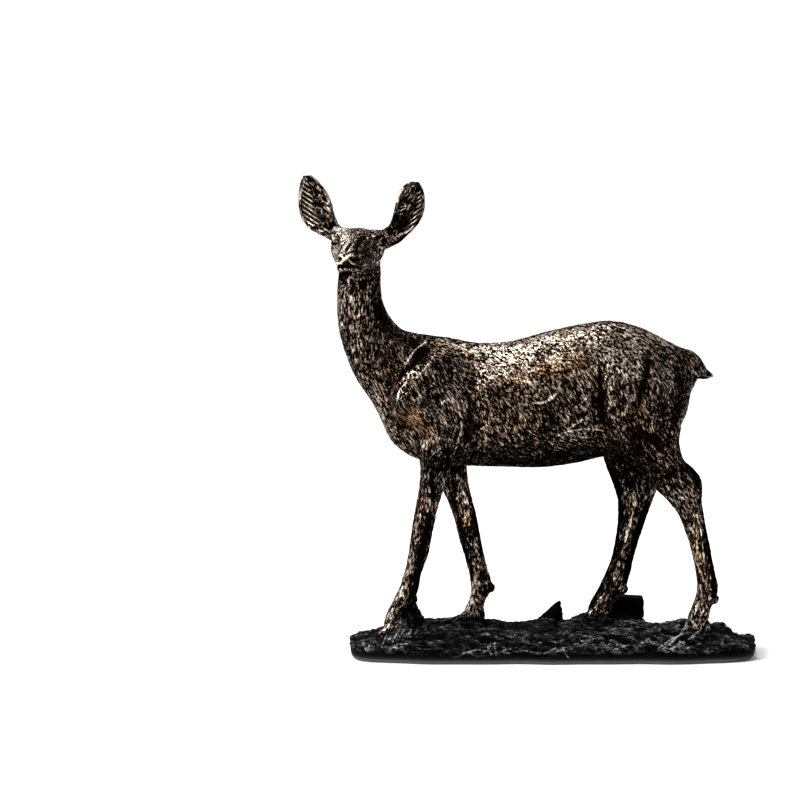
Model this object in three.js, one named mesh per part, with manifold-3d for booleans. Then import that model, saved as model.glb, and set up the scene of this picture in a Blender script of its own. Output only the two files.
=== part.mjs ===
// A standing doe in bronze on a low slab of black rock, a mantelpiece sculpture.
// Millimetres, +Z up. The doe walks towards -X and turns its head to look along -Y.
// The origin is the middle of the slab's flat underside.
import * as THREE from "three";
import { mergeVertices } from "three/addons/utils/BufferGeometryUtils.js";
import Module from "manifold-3d";

const wasm = await Module();
wasm.setup();

// Driving dimensions.
const figureHeight = 325; // ground under the near hooves to the tip of the taller ear
const baseLength = 286;
const baseDepth = 92;
const rimHeight = 11; // top of the slab at its edge
const groundHeight = 20; // top of the slab under the near hooves
const footInset = 3; // how far the underside draws in from the slab's widest line
const earThickness = 2.6;
const hoofGap = 0.3; // clearance between the hooves and the rock

// The figure's pose and proportions are written for this height and scale with it.
const drawnHeight = 325;
const figureScale = figureHeight / drawnHeight;

const capRings = 2;
const clamp = THREE.MathUtils.clamp;
const degrees = THREE.MathUtils.degToRad;
const vector = (x, y, z) => new THREE.Vector3(x, y, z);

// One closed surface over rings of equal count, each end drawn together at its middle.
function closeRings(rings) {
  const count = rings[0].length;
  const middle = (ring) => ring.reduce((sum, p) => sum.add(p), vector(0, 0, 0)).divideScalar(count);
  const points = [...rings.flat(), middle(rings[0]), middle(rings.at(-1))];
  const firstPole = points.length - 2;
  const lastPole = points.length - 1;
  const index = [];
  for (let i = 0; i < count; i++) {
    const j = (i + 1) % count;
    index.push(firstPole, i, j);
    for (let r = 0; r + 1 < rings.length; r++) {
      const a = r * count;
      const b = a + count;
      index.push(a + i, b + i, a + j, a + j, b + i, b + j);
    }
    const top = (rings.length - 1) * count;
    index.push(lastPole, top + j, top + i);
  }
  return new THREE.BufferGeometry().setFromPoints(points).setIndex(index);
}

// A soft swelling or hollow on a flank: full along a line between two points of the side
// view, and fading out over its reach.
function swell(point, sideways, { from, to, reach, rise }) {
  const line = new THREE.Line3(vector(from[0], 0, from[1]), vector(to[0], 0, to[1]));
  const flat = vector(point.x, 0, point.z);
  const away = line.closestPointToPoint(flat, true, vector(0, 0, 0)).distanceTo(flat) / reach;
  return rise * Math.exp(-away * away) * sideways * sideways;
}

// A lofted form: oval rings between two edges, each a smooth line through its stations.
// A station is { a, b, wide }: a point on either edge, and the half width across them.
// egg makes the b side broader, and cap is the length of each rounded end.
function loft(stations, { sides = 10, rings = 2, egg = 0, cap = 0.6, swells = [] } = {}) {
  const edgeA = new THREE.CatmullRomCurve3(stations.map(({ a }) => a));
  const edgeB = new THREE.CatmullRomCurve3(stations.map(({ b }) => b));
  const widths = new THREE.CatmullRomCurve3(stations.map(({ wide }, i) => vector(wide, i, 0)));
  const last = (stations.length - 1) * rings;
  const made = [];
  for (let i = 1 - capRings; i < last + capRings; i++) {
    const t = clamp(i / last, 0, 1);
    const beyond = ((i - t * last) / capRings) * (Math.PI / 2);
    const a = edgeA.getPoint(t);
    const b = edgeB.getPoint(t);
    const wide = widths.getPoint(t).x;
    const along = edgeA.getTangent(t).add(edgeB.getTangent(t)).normalize();
    const half = a.clone().sub(b).multiplyScalar(0.5);
    const side = half.clone().cross(along).normalize();
    const overrun = Math.sin(beyond) * cap * Math.min(half.length(), wide);
    const centre = a.clone().lerp(b, 0.5).addScaledVector(along, overrun);
    const shrink = Math.cos(beyond);
    made.push(
      Array.from({ length: sides }, (_, k) => {
        const turn = (2 * Math.PI * k) / sides;
        const across = wide * Math.sin(turn) * (1 - egg * Math.cos(turn));
        const point = centre
          .clone()
          .addScaledVector(half, shrink * Math.cos(turn))
          .addScaledVector(side, shrink * across);
        const raised = swells.reduce((sum, one) => sum + swell(point, Math.sin(turn), one), 0);
        return point.addScaledVector(side, raised * Math.sign(Math.sin(turn)) * shrink);
      }),
    );
  }
  return closeRings(made);
}

// Stations in the side view: [ax, az, bx, bz, wide], with y running from first to last.
function sideView(rows, yFirst = 0, yLast = yFirst) {
  return rows.map(([ax, az, bx, bz, wide], i) => {
    const y = THREE.MathUtils.lerp(yFirst, yLast, i / (rows.length - 1));
    return { a: vector(ax, y, az), b: vector(bx, y, bz), wide };
  });
}

function solidOf(geometry) {
  const bare = geometry.clone();
  bare.deleteAttribute("normal");
  bare.deleteAttribute("uv");
  const merged = mergeVertices(bare, 1e-4);
  return new wasm.Manifold(
    new wasm.Mesh({
      numProp: 3,
      vertProperties: new Float32Array(merged.attributes.position.array),
      triVerts: new Uint32Array(merged.index.array),
    }),
  );
}

function geometryOf(solid) {
  const mesh = solid.getMesh();
  return new THREE.BufferGeometry()
    .setAttribute("position", new THREE.BufferAttribute(new Float32Array(mesh.vertProperties), 3))
    .setIndex(new THREE.BufferAttribute(new Uint32Array(mesh.triVerts), 1))
    .toNonIndexed();
}

const join = (geometries) => geometries.map(solidOf).reduce((whole, piece) => whole.add(piece));
const cut = (solid, geometries) => geometries.map(solidOf).reduce((whole, piece) => whole.subtract(piece), solid);

// Body and neck in one, from the buttocks to the throat: back line, belly line, half width.
const body = [
  [97, 190, 97, 168, 8],
  [91, 197, 93, 150, 16],
  [78, 204, 82, 133, 22],
  [60.5, 212.5, 60.5, 124, 26],
  [41, 217, 37, 121.5, 30],
  [18.5, 214.5, 15, 116.5, 33],
  [-6, 209, -9.5, 113.5, 33.5],
  [-30.5, 202.5, -34, 114, 32],
  [-53, 201.5, -58.5, 114.5, 28.5],
  [-72.5, 205, -81.5, 116, 25],
  [-86.5, 207, -100, 121.5, 22.5],
  [-97.5, 208.5, -113, 131.5, 20.5],
  [-105.5, 211, -120, 145.5, 20],
  [-111.5, 216, -127, 159.5, 18],
  [-116, 222.5, -137.5, 175, 16],
  [-119.5, 231, -145.5, 193.5, 14],
  [-121, 241.5, -150.5, 212.5, 12.5],
  [-120.7, 253, -151.5, 231.5, 12],
  [-121, 266, -150.5, 254, 11.5],
];
const flankForms = {
  shoulderBlade: { from: [-83, 196], to: [-103, 168], reach: 11, rise: 6 },
  upperArm: { from: [-105, 158], to: [-74, 139], reach: 11, rise: 9 },
  behindShoulder: { from: [-58, 184], to: [-58, 140], reach: 8, rise: -4 },
  breastGroove: { from: [-114, 182], to: [-119, 146], reach: 5, rise: -4 },
  haunch: { from: [68, 190], to: [66, 158], reach: 18, rise: 7 },
  stifle: { from: [48, 156], to: [50, 142], reach: 11, rise: 5 },
  flankGroove: { from: [32, 188], to: [32, 145], reach: 6, rise: -5 },
  flankHollow: { from: [24, 160], to: [20, 150], reach: 12, rise: -2 },
  thighGroove: { from: [66, 184], to: [67, 150], reach: 4, rise: -2.5 },
};

const tail = [
  [86, 199, 86, 176, 9],
  [98, 196, 97, 177, 7.5],
  [104.5, 189.5, 102, 176, 6],
  [108, 183, 107, 175.5, 4],
  [111.5, 180, 111, 177, 2],
];

// Legs: front line, rear line, half width, from inside the body down to the hoof.
const nearForeleg = [
  [-100.5, 146, -68, 146, 9],
  [-98, 132, -67, 133, 12.5],
  [-93.5, 118.5, -71, 120, 10.5],
  [-94, 103, -76, 103, 8],
  [-97, 85.5, -81.2, 85.5, 7],
  [-99.5, 69.5, -84.7, 68.5, 6.6],
  [-101.5, 55, -87.2, 55, 6.2],
  [-104.5, 41, -92, 41, 5.2],
  [-108.5, 29.5, -94.6, 29, 5.8],
  [-113, 20, -97.8, 22, 6],
  [-116.5, 13, -104.5, 15, 5.4],
  [-118.5, 6, -105.5, 7.5, 6],
  [-119.5, -2, -106, -2, 6],
];
const farForeleg = [
  [-88, 146, -58, 146, 9],
  [-87, 131, -58.5, 132, 12.5],
  [-83, 113, -60.5, 115, 9.6],
  [-76.8, 93.5, -58.5, 96, 7.8],
  [-70.3, 77.5, -54, 79, 7],
  [-66.3, 62, -51, 63.5, 6.6],
  [-62.3, 48.5, -48.5, 50.5, 6],
  [-58.8, 34.5, -45, 36.5, 5.2],
  [-57.5, 25, -42.5, 26.5, 5.8],
  [-58.5, 17, -47.5, 14.5, 5.4],
  [-61.5, 10, -49, 7.5, 6],
  [-64, 2, -50.5, 2, 6],
];
const nearHindleg = [
  [46, 170, 84, 166, 5],
  [38, 150, 90, 149, 13],
  [42.5, 131, 88.5, 133.5, 13.5],
  [57.5, 115.5, 91.5, 121.5, 11],
  [69, 103, 99, 114.5, 8.4],
  [80, 92.5, 104, 106.5, 7.4],
  [88, 82, 104.5, 90.5, 6.6],
  [93, 69, 107.5, 73, 5.8],
  [97, 56, 110.5, 58, 5.4],
  [100, 41.5, 113.5, 43, 5.2],
  [101, 29, 116, 28, 5.8],
  [98.5, 19.5, 112, 18.5, 5.6],
  [95, 10, 109.5, 9, 6],
  [93.5, -2, 108.5, -2, 6],
];
const farHindleg = [
  [46, 168, 80, 166, 5],
  [35.5, 146, 84, 146, 13],
  [35.5, 119, 79.5, 116, 12],
  [41, 103, 74.8, 98, 8.6],
  [45.4, 89.5, 71.3, 88, 7.4],
  [46.2, 77, 67.2, 77, 6.4],
  [44.5, 60, 61.7, 60, 5.8],
  [41.3, 45, 57.2, 45, 5.4],
  [36, 32, 54.7, 33, 5.6],
  [30.3, 21, 51, 23, 5.8],
  [25.8, 12, 42, 11, 6],
  [24, 3, 39.8, 3, 6],
];
const legs = [
  sideView(nearForeleg, -18, -16),
  sideView(farForeleg, 18, 16),
  sideView(nearHindleg, -20, -16),
  sideView(farHindleg, 20, 16),
];

// A bony point, such as a dewclaw or the point of the hock: [x, y, z, long, wide, tall].
const bonyPoints = [
  [112.8, -16, 22, 4.2, 5.4, 3.6],
  [-44.5, 16, 25, 4.4, 5.4, 3.6],
  [-98.5, -16, 22, 3.6, 5.4, 3.6],
  [49.5, 16, 24, 4.4, 5.4, 3.6],
  [-70, -17, 138, 6, 8, 8],
  [-61, 17, 138, 6, 8, 8],
];
const bump = ([x, y, z, long, wide, tall]) =>
  new THREE.SphereGeometry(1, 8, 6).scale(long, wide, tall).translate(x, y, z);

// Where each hoof stands: the heel end of its sole.
const hooves = [
  [-105, -16, -3],
  [-50, 16, 1],
  [108, -16, -3],
  [39.5, 16, 3],
];

// One toe of a cloven hoof: a wedge that is flat below and slopes down to the tip.
function toe([x, y, z], side) {
  const heelHeight = 11;
  const apart = 3;
  const spread = 1 / 16;
  const profile = [
    [1, 0.9, 2.8],
    [-4, 1, 3.2],
    [-10, 0.75, 3],
    [-15, 0.4, 2.1],
    [-17.5, 0.18, 1.1],
  ];
  return loft(
    profile.map(([along, share, wide]) => {
      const middle = y + side * (apart - along * spread);
      return { a: vector(x + along, middle, z + heelHeight * share), b: vector(x + along, middle, z), wide };
    }),
    { sides: 6, rings: 1 },
  );
}

// Head, in its own frame: -Y to the nose, +Z up, origin between the ears.
const headMatrix = new THREE.Matrix4()
  .makeRotationFromEuler(new THREE.Euler(0, degrees(3), degrees(-8.5), "ZYX"))
  .setPosition(-136, -7, 272);

// Top, underside and half width of the head, from the back of the skull to the nose.
const skull = [
  [14, 4, -10, 9.5],
  [6, 10.5, -16, 15.5],
  [-2, 11.5, -18, 18.6],
  [-10, 10, -18.5, 18.4],
  [-18, 6.5, -19, 15],
  [-27, 3, -18.5, 12.4],
  [-36, 0, -18, 10.6],
  [-43, -2, -17, 9.6],
].map(([y, top, low, wide]) => ({ a: vector(0, y, top), b: vector(0, y, low), wide }));
const eye = { x: 15.8, y: -10.5, z: 4, radius: 3.4 };

function headSolid() {
  const pair = (shape) => [shape(1), shape(-1)];
  const added = [
    loft(skull, { sides: 14, rings: 2, egg: -0.12, cap: 0.5 }),
    // cheeks
    ...pair((s) => bump([s * 8, -8, -8, 6.5, 11, 8])),
    // sides of the crown
    ...pair((s) => bump([s * 9, -1, 6.2, 8, 8, 5])),
    // brows
    ...pair((s) => bump([s * 13, -9.5, 7.4, 4.4, 6, 2.2])),
    // roots of the ears
    ...pair((s) => bump([s * 13, 2, 6, 6.5, 7, 5])),
    // eyeballs
    ...pair((s) => bump([s * eye.x, eye.y, eye.z, 2.4, eye.radius, 2.7])),
    // nose pad
    bump([0, -44, -4.6, 7.6, 4, 4.6]),
  ];
  const carved = [
    // line of the mouth
    bump([0, -42, -10, 11, 9, 0.9]),
    // nostrils
    ...pair((s) => bump([s * 4.2, -47, -4.4, 1.7, 2.6, 1.3])),
  ];
  return cut(join(added), carved);
}

// An ear: a scoop between two rims, closed at the root and open towards -Y. A row is
// [inner rim x, z, outer rim x, z, depth behind the rims].
function ear(rows, [innerFirst, innerLast], [outerFirst, outerLast]) {
  const rings = 2;
  const arc = 6;
  const closedShare = 0.22;
  const openShare = 0.42;
  const inner = [];
  const outer = [];
  rows.forEach(([ix, iz, ox, oz], i) => {
    const u = i / (rows.length - 1);
    inner.push(vector(ix, THREE.MathUtils.lerp(innerFirst, innerLast, u), iz));
    outer.push(vector(ox, THREE.MathUtils.lerp(outerFirst, outerLast, u), oz));
  });
  const innerRim = new THREE.CatmullRomCurve3(inner);
  const outerRim = new THREE.CatmullRomCurve3(outer);
  const depths = new THREE.CatmullRomCurve3(rows.map((row, i) => vector(row[4], i, 0)));
  const last = (rows.length - 1) * rings;
  const made = [];
  for (let r = 0; r <= last; r++) {
    const t = r / last;
    const a = innerRim.getPoint(t);
    const b = outerRim.getPoint(t);
    const depth = depths.getPoint(t).x;
    const wall = Math.min(earThickness, depth * 0.7);
    const open = THREE.MathUtils.smoothstep(t, closedShare, openShare);
    const front = THREE.MathUtils.lerp(-depth * 0.8, depth - wall, open);
    const rim = (earThickness / 2 / a.distanceTo(b)) * open;
    const back = Array.from({ length: arc }, (_, k) => {
      const share = (1 - Math.cos((Math.PI * k) / arc)) / 2;
      return a.clone().lerp(b, share).add(vector(0, depth * Math.sin((Math.PI * k) / arc), 0));
    });
    const inside = Array.from({ length: arc }, (_, k) => {
      const turn = Math.PI * (1 - k / arc);
      const share = (1 - Math.cos(turn)) / 2;
      const drawnIn = k === 0 ? 1 : THREE.MathUtils.lerp(rim, 1 - rim, share);
      return a.clone().lerp(b, drawnIn).add(vector(0, front * Math.sin(turn), 0));
    });
    made.push([...back, ...inside]);
  }
  return made;
}

const leftEar = ear(
  [
    [-149, 284, -154, 273, 5],
    [-151.5, 288.5, -163, 278, 6],
    [-153.5, 294, -171, 282.5, 8],
    [-154.5, 299, -176, 288.5, 9],
    [-156.5, 304.5, -178.5, 297, 8.5],
    [-160, 311, -178.5, 306, 7],
    [-165, 316.5, -177.5, 314.5, 4.5],
    [-170, 320.5, -175, 320, 2],
  ],
  [-4, -7],
  [-4, -5],
);
const rightEar = ear(
  [
    [-121, 281.5, -121, 265.5, 5],
    [-115.5, 285, -110.2, 270.8, 6],
    [-113, 290.5, -101.6, 277.8, 8],
    [-111.5, 297, -95, 284.6, 9],
    [-110, 303, -90.6, 293.5, 8.5],
    [-107.8, 309.5, -89.8, 302, 7],
    [-103.8, 314.5, -91, 309.5, 4.5],
    [-99.5, 316.5, -94, 315.5, 2],
  ],
  [-4, -10],
  [-3, -3],
);

// Mounds of the rock where the hooves stand, in the figure's own places.
const mounds = [
  { at: [-100.5, -13], rise: 22, reach: [8.5, 7.5] },
  { at: [-92, -4], rise: 3, reach: [9, 10] },
  { at: [-112, -16], rise: 2.5, reach: [14, 12] },
  { at: [-84, 12], rise: 3.5, reach: [16, 14] },
  { at: [-63, 14], rise: 5.5, reach: [7, 10] },
  { at: [-42, 18], rise: 2.5, reach: [8, 10] },
  { at: [25, 18], rise: 5.5, reach: [13, 14] },
  { at: [48, 18], rise: 3, reach: [14, 14] },
  { at: [92, -8], rise: 6, reach: [18, 16] },
  { at: [120, 4], rise: 6, reach: [8, 14] },
  { at: [-84, 36], rise: -2.5, reach: [16, 16] },
  { at: [-30, 34], rise: -3.5, reach: [20, 16] },
  { at: [9, 34], rise: -4, reach: [8, 14] },
  { at: [74, 32], rise: -5, reach: [13, 16] },
  { at: [128, 24], rise: -2.5, reach: [14, 22] },
];

// Repeatable roughness between -1 and 1.
function rough(x, y, seed) {
  const value = Math.sin(x * 12.9898 + y * 78.233 + seed * 37.719) * 43758.5453;
  return 2 * (value - Math.floor(value)) - 1;
}

// How far out a point lies on the slab: 0 at its middle, 1 on its edge.
const squareness = 4.5;
const outward = (x, y) =>
  (Math.abs((2 * x) / baseLength) ** squareness + Math.abs((2 * y) / baseDepth) ** squareness) **
  (1 / squareness);

function groundAt(x, y) {
  const inside = 1 - outward(x, y);
  const dome = rimHeight + (groundHeight - rimHeight) * THREE.MathUtils.smoothstep(inside, 0, 0.3);
  const lean = (6 * y * inside) / baseDepth;
  return mounds.reduce((height, { at, rise, reach }) => {
    const fromX = (x - figureScale * at[0]) / reach[0];
    const fromY = (y - figureScale * at[1]) / reach[1];
    const away = fromX ** 2 + fromY ** 2;
    return height + rise * Math.exp(-away);
  }, dome + lean);
}

// The slab is a row of upright sections along X, each closer to the next near the ends.
function slab() {
  const sections = 34;
  const topPoints = 11;
  const endReach = 0.996;
  const lumps = 1.2;
  const drawn = (baseLength / 2 - footInset) / (baseLength / 2);
  const rings = Array.from({ length: sections + 1 }, (_, i) => {
    const u = (2 * i) / sections - 1;
    const along = (endReach * (u * 0.55 + Math.sin((u * Math.PI) / 2) * 0.45) * baseLength) / 2;
    const narrowed = (1 - Math.abs((2 * along) / baseLength) ** squareness) ** (1 / squareness);
    const wave = 1 + 0.02 * Math.sin(along / 13 + 1) + 0.015 * Math.sin(along / 7 + 2);
    const half = (baseDepth / 2) * narrowed * wave;
    const nudge = (k, seed) => lumps * 0.8 * rough(i, k, seed);
    const sideOf = (s) => [
      vector(along + nudge(s, 4), s * half + nudge(s, 5), rimHeight * 0.75 + nudge(s, 6)),
      vector(along * ((1 + drawn) / 2), s * (half - footInset / 3), rimHeight * 0.3),
      vector(along * drawn, s * (half - footInset), 0),
    ];
    const top = Array.from({ length: topPoints }, (__, k) => {
      const y = half * 0.95 * ((2 * k) / (topPoints - 1) - 1);
      return vector(along + nudge(k, 2), y + nudge(k, 3), groundAt(along, y) + lumps * rough(i, k, 1));
    });
    return [...top, ...sideOf(1), ...sideOf(-1).reverse()];
  });
  return closeRings(rings);
}

// A broken block: a box with its corners knocked about.
function block([x, y, z], [long, deep, tall], turn, seed) {
  const bare = new THREE.BoxGeometry(long, deep, tall, 2, 2, 2);
  bare.deleteAttribute("normal");
  bare.deleteAttribute("uv");
  const box = mergeVertices(bare);
  const p = box.attributes.position;
  for (let i = 0; i < p.count; i++) {
    p.setXYZ(
      i,
      p.getX(i) + rough(i, 1, seed) * long * 0.06,
      p.getY(i) + rough(i, 2, seed) * deep * 0.06,
      p.getZ(i) + rough(i, 3, seed) * tall * 0.04,
    );
  }
  return box.rotateZ(degrees(turn)).translate(x, y, z);
}

// A shard of rock that leans to its point.
function shard([x, y, z], tall, width) {
  const cone = new THREE.ConeGeometry(width, tall, 5, 2).rotateX(Math.PI / 2);
  const p = cone.attributes.position;
  for (let i = 0; i < p.count; i++) {
    p.setX(i, p.getX(i) + (p.getZ(i) / tall + 0.5) * width * 0.8);
  }
  return cone.scale(1, 0.7, 1).translate(x, y, z + tall / 2);
}

const rockBase = join([
  slab(),
  block([51.2, 31, groundHeight + 5.4], [27, 15, 22.8], 4, 5),
  shard([-4, 16, groundHeight - 1], 17, 12),
]);

const head = geometryOf(headSolid()).applyMatrix4(headMatrix);
const figure = join([
  loft(sideView(body), { sides: 24, egg: 0.12, cap: 0.5, swells: Object.values(flankForms) }),
  loft(sideView(tail), { rings: 1, cap: 1 }),
  ...legs.map((leg) => loft(leg)),
  ...bonyPoints.map(bump),
  ...hooves.flatMap((at) => [toe(at, 1), toe(at, -1)]),
  head,
  // the left ear runs the other way round its rims
  closeRings(leftEar.map((ring) => ring.toReversed())),
  closeRings(rightEar),
]);

// The hooves end on the rock: the figure is cut by the slab, raised by the gap.
const scaledFigure = solidOf(geometryOf(figure).scale(figureScale, figureScale, figureScale));
const standingFigure = cut(scaledFigure, [geometryOf(rockBase).translate(0, 0, hoofGap - groundHeight)]);

const bronze = new THREE.MeshStandardMaterial({ color: 0x6b4f33, roughness: 0.42, metalness: 0.85 });
const blackRock = new THREE.MeshStandardMaterial({ color: 0x15140f, roughness: 0.5, metalness: 0.2 });

const doe = new THREE.Mesh(geometryOf(standingFigure), bronze);
doe.name = "doe";
doe.position.z = groundHeight;

const base = new THREE.Mesh(geometryOf(rockBase), blackRock);
base.name = "rock_base";

const sculpture = new THREE.Group();
sculpture.add(doe, base);

export default sculpture;
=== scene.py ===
import math

import bmesh
import bpy
import numpy as np
from mathutils import Euler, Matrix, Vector, noise
from mathutils.kdtree import KDTree


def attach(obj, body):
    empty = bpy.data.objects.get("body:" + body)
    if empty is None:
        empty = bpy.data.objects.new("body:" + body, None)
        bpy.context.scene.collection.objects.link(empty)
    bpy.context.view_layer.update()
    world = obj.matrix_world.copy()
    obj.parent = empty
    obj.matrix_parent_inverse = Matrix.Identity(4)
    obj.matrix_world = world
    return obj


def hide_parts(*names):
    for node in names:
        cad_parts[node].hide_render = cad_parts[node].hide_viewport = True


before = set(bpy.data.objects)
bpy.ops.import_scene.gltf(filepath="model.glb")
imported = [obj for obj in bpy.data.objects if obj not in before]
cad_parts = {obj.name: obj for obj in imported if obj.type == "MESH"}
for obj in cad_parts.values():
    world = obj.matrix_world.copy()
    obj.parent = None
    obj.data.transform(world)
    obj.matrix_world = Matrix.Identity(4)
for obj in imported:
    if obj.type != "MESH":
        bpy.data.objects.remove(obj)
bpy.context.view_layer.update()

mm = 0.001
ground = 20.0  # the figure's zero above the slab's underside

# the photo: millimetres to a pixel, degrees that it looks down, the pixel of x = 0 on the slab's near foot,
# and that foot's y
view = {"pixel": 0.7, "elevation": 8, "middle": 553.5, "foot": 665, "nearY": -45}
lookDown = math.radians(view["elevation"])


# A smooth line through points, read at shares of its length from 0 to 1.
def smoothLine(points, shares):
    points = np.asarray(points, float)
    padded = np.vstack([2 * points[0] - points[1], points, 2 * points[-1] - points[-2]])
    place = np.clip(shares, 0, 1) * (len(points) - 1)
    first = np.minimum(place.astype(int), len(points) - 2)
    w = (place - first)[:, None]
    p0, p1, p2, p3 = (padded[first + k] for k in range(4))

    def spacing(a, b):
        return np.maximum(((a - b) ** 2).sum(1, keepdims=True) ** 0.25, 1e-4)

    d0, d1, d2 = spacing(p0, p1), spacing(p1, p2), spacing(p2, p3)
    leave = ((p1 - p0) / d0 - (p2 - p0) / (d0 + d1) + (p2 - p1) / d1) * d1
    arrive = ((p2 - p1) / d1 - (p3 - p1) / (d1 + d2) + (p3 - p2) / d2) * d1
    bend = 3 * (p2 - p1) - 2 * leave - arrive
    return p1 + w * leave + w**2 * bend + w**3 * (2 * (p1 - p2) + leave + arrive)


def unit(vectors):
    return vectors / np.maximum(np.linalg.norm(vectors, axis=-1, keepdims=True), 1e-9)


def smoothstep(value, low, high):
    share = np.clip((value - low) / (high - low), 0, 1)
    return share * share * (3 - 2 * share)


def tangentOf(points, shares):
    step = 1e-4
    return unit(smoothLine(points, shares + step) - smoothLine(points, shares - step))


# A closed surface over rings of equal count, each end drawn together at its middle.
def closeRings(rings):
    count, sides = rings.shape[:2]
    points = np.vstack([rings.reshape(-1, 3), rings[0].mean(0), rings[-1].mean(0)])
    k = np.arange(sides)
    after = (k + 1) % sides
    row = np.arange(count - 1)[:, None] * sides
    quads = np.stack([row + k, row + sides + k, row + sides + after, row + after], -1).reshape(-1, 4)
    first, last, top = count * sides, count * sides + 1, (count - 1) * sides
    fans = [(first, i, (i + 1) % sides) for i in range(sides)]
    fans += [(last, top + (i + 1) % sides, top + i) for i in range(sides)]
    return points, [tuple(quad) for quad in quads.tolist()] + fans


# Oval rings between two edge lines, rounded at both ends.
def loft(a, b, wide, sides=40, rings=6, egg=0.0, cap=0.6, forms=()):
    capRings = 4
    last = (len(a) - 1) * rings
    index = np.arange(1 - capRings, last + capRings)
    t = np.clip(index / last, 0, 1)
    beyond = (index - t * last) / capRings * (math.pi / 2)
    edgeA, edgeB = smoothLine(a, t), smoothLine(b, t)
    widths = smoothLine([(w, i) for i, w in enumerate(wide)], t)[:, 0]
    along = unit(tangentOf(a, t) + tangentOf(b, t))
    half = (edgeA - edgeB) / 2
    side = unit(np.cross(half, along))
    overrun = np.sin(beyond) * cap * np.minimum(np.linalg.norm(half, axis=1), widths)
    centre = (edgeA + edgeB) / 2 + along * overrun[:, None]
    turn = 2 * math.pi * np.arange(sides) / sides
    shrink = np.cos(beyond)[:, None, None]
    across = widths[:, None] * np.sin(turn) * (1 - egg * np.cos(turn))
    points = centre[:, None] + half[:, None] * shrink * np.cos(turn)[:, None]
    points = points + side[:, None] * shrink * across[..., None]
    raised = sum(swell(points, form) for form in forms) * np.sin(turn) ** 2 * np.sign(np.sin(turn))
    return closeRings(points + side[:, None] * shrink * np.asarray(raised)[..., None])


def swell(points, form):
    start, end = np.array(form[:2]), np.array(form[2:4])
    flat = points[..., [0, 2]]
    share = np.clip(((flat - start) @ (end - start)) / ((end - start) @ (end - start)), 0, 1)
    away = np.linalg.norm(flat - start - share[..., None] * (end - start), axis=-1) / form[4]
    return form[5] * np.exp(-away * away)


# Stations of the side view as two edge lines and half widths.
def sideView(rows, yFirst=0, yLast=0):
    y = np.linspace(yFirst, yLast, len(rows))
    a = [(row[0], at, row[1]) for row, at in zip(rows, y)]
    b = [(row[2], at, row[3]) for row, at in zip(rows, y)]
    return a, b, [row[4] for row in rows]


def ovoid(row):
    sides, rings = 24, 14
    lift = np.linspace(0.12, math.pi - 0.12, rings)[:, None]
    turn = 2 * math.pi * np.arange(sides) / sides
    sphere = np.stack([np.sin(lift) * np.cos(turn), np.sin(lift) * np.sin(turn), np.cos(lift) + 0 * turn], -1)
    return closeRings(sphere * np.array(row[3:6]) + np.array(row[:3]))


def linked(name, data):
    made = bpy.data.objects.new(name, data)
    bpy.context.scene.collection.objects.link(made)
    return made


# A plain mesh from an object with its modifier, and the object is removed.
def evaluated(piece):
    graph = bpy.context.evaluated_depsgraph_get()
    made = bpy.data.meshes.new_from_object(piece.evaluated_get(graph))
    bpy.data.objects.remove(piece)
    return made


def meshOf(name, shells):
    points, faces, start = [], [], 0
    for shellPoints, shellFaces in shells:
        points.append(shellPoints)
        faces += [tuple(i + start for i in face) for face in shellFaces]
        start += len(shellPoints)
    mesh = bpy.data.meshes.new(name)
    mesh.from_pydata(np.vstack(points).tolist(), [], faces)
    mesh.update()
    return mesh


def shellOf(mesh):
    return pointsOf(mesh), [tuple(face.vertices) for face in mesh.polygons]


def vectorsOf(items, key):
    flat = np.empty(len(items) * 3, np.float32)
    items.foreach_get(key, flat)
    return flat.reshape(-1, 3).astype(float)


def pointsOf(mesh):
    return vectorsOf(mesh.vertices, "co")


def normalsOf(mesh):
    return vectorsOf(mesh.vertex_normals, "vector")


def setPoints(mesh, points):
    mesh.vertices.foreach_set("co", points.astype(np.float32).ravel())
    mesh.update()


def edgesOf(mesh):
    flat = np.empty(len(mesh.edges) * 2, np.int32)
    mesh.edges.foreach_get("vertices", flat)
    return flat.reshape(-1, 2)


def treeOf(points):
    tree = KDTree(len(points))
    for i, place in enumerate(points):
        tree.insert(place, i)
    tree.balance()
    return tree


# Where the photo shows each point, in its pixels.
def seenAt(points):
    rise = (points[:, 2] + ground) * math.cos(lookDown) + (points[:, 1] - view["nearY"]) * math.sin(lookDown)
    return np.stack([view["middle"] + points[:, 0] / view["pixel"], view["foot"] - rise / view["pixel"]], 1)


# The mesh with the faces of a region split in four.
def refined(mesh, chosen):
    work = bmesh.new()
    work.from_mesh(mesh)
    split = [edge for edge in work.edges if chosen[edge.verts[0].index] and chosen[edge.verts[1].index]]
    bmesh.ops.subdivide_edges(work, edges=split, cuts=1, use_grid_fill=True)
    work.to_mesh(mesh)
    work.free()
    return mesh


# The mesh after one modifier with these settings, which leaves the points of fine as they are.
def modified(mesh, kind, fine=None, **settings):
    piece = linked("modified", mesh)
    modifier = piece.modifiers.new(kind, kind)
    if fine is not None:
        group = piece.vertex_groups.new(name="fine")
        group.add([int(i) for i in np.where(fine)[0]], 1.0, "REPLACE")
        modifier.vertex_group = "fine"
        modifier.invert_vertex_group = True
        modifier.vertex_group_factor = 1.0
    for key, value in settings.items():
        setattr(modifier, key, value)
    return evaluated(piece)


def thinned(mesh, most, fine=None):
    triangles = sum(len(face.vertices) - 2 for face in mesh.polygons)
    if triangles <= most:
        return mesh
    settings = {"ratio": most / triangles, "use_collapse_triangulate": True}
    return modified(mesh, "DECIMATE", fine, **settings)


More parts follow.
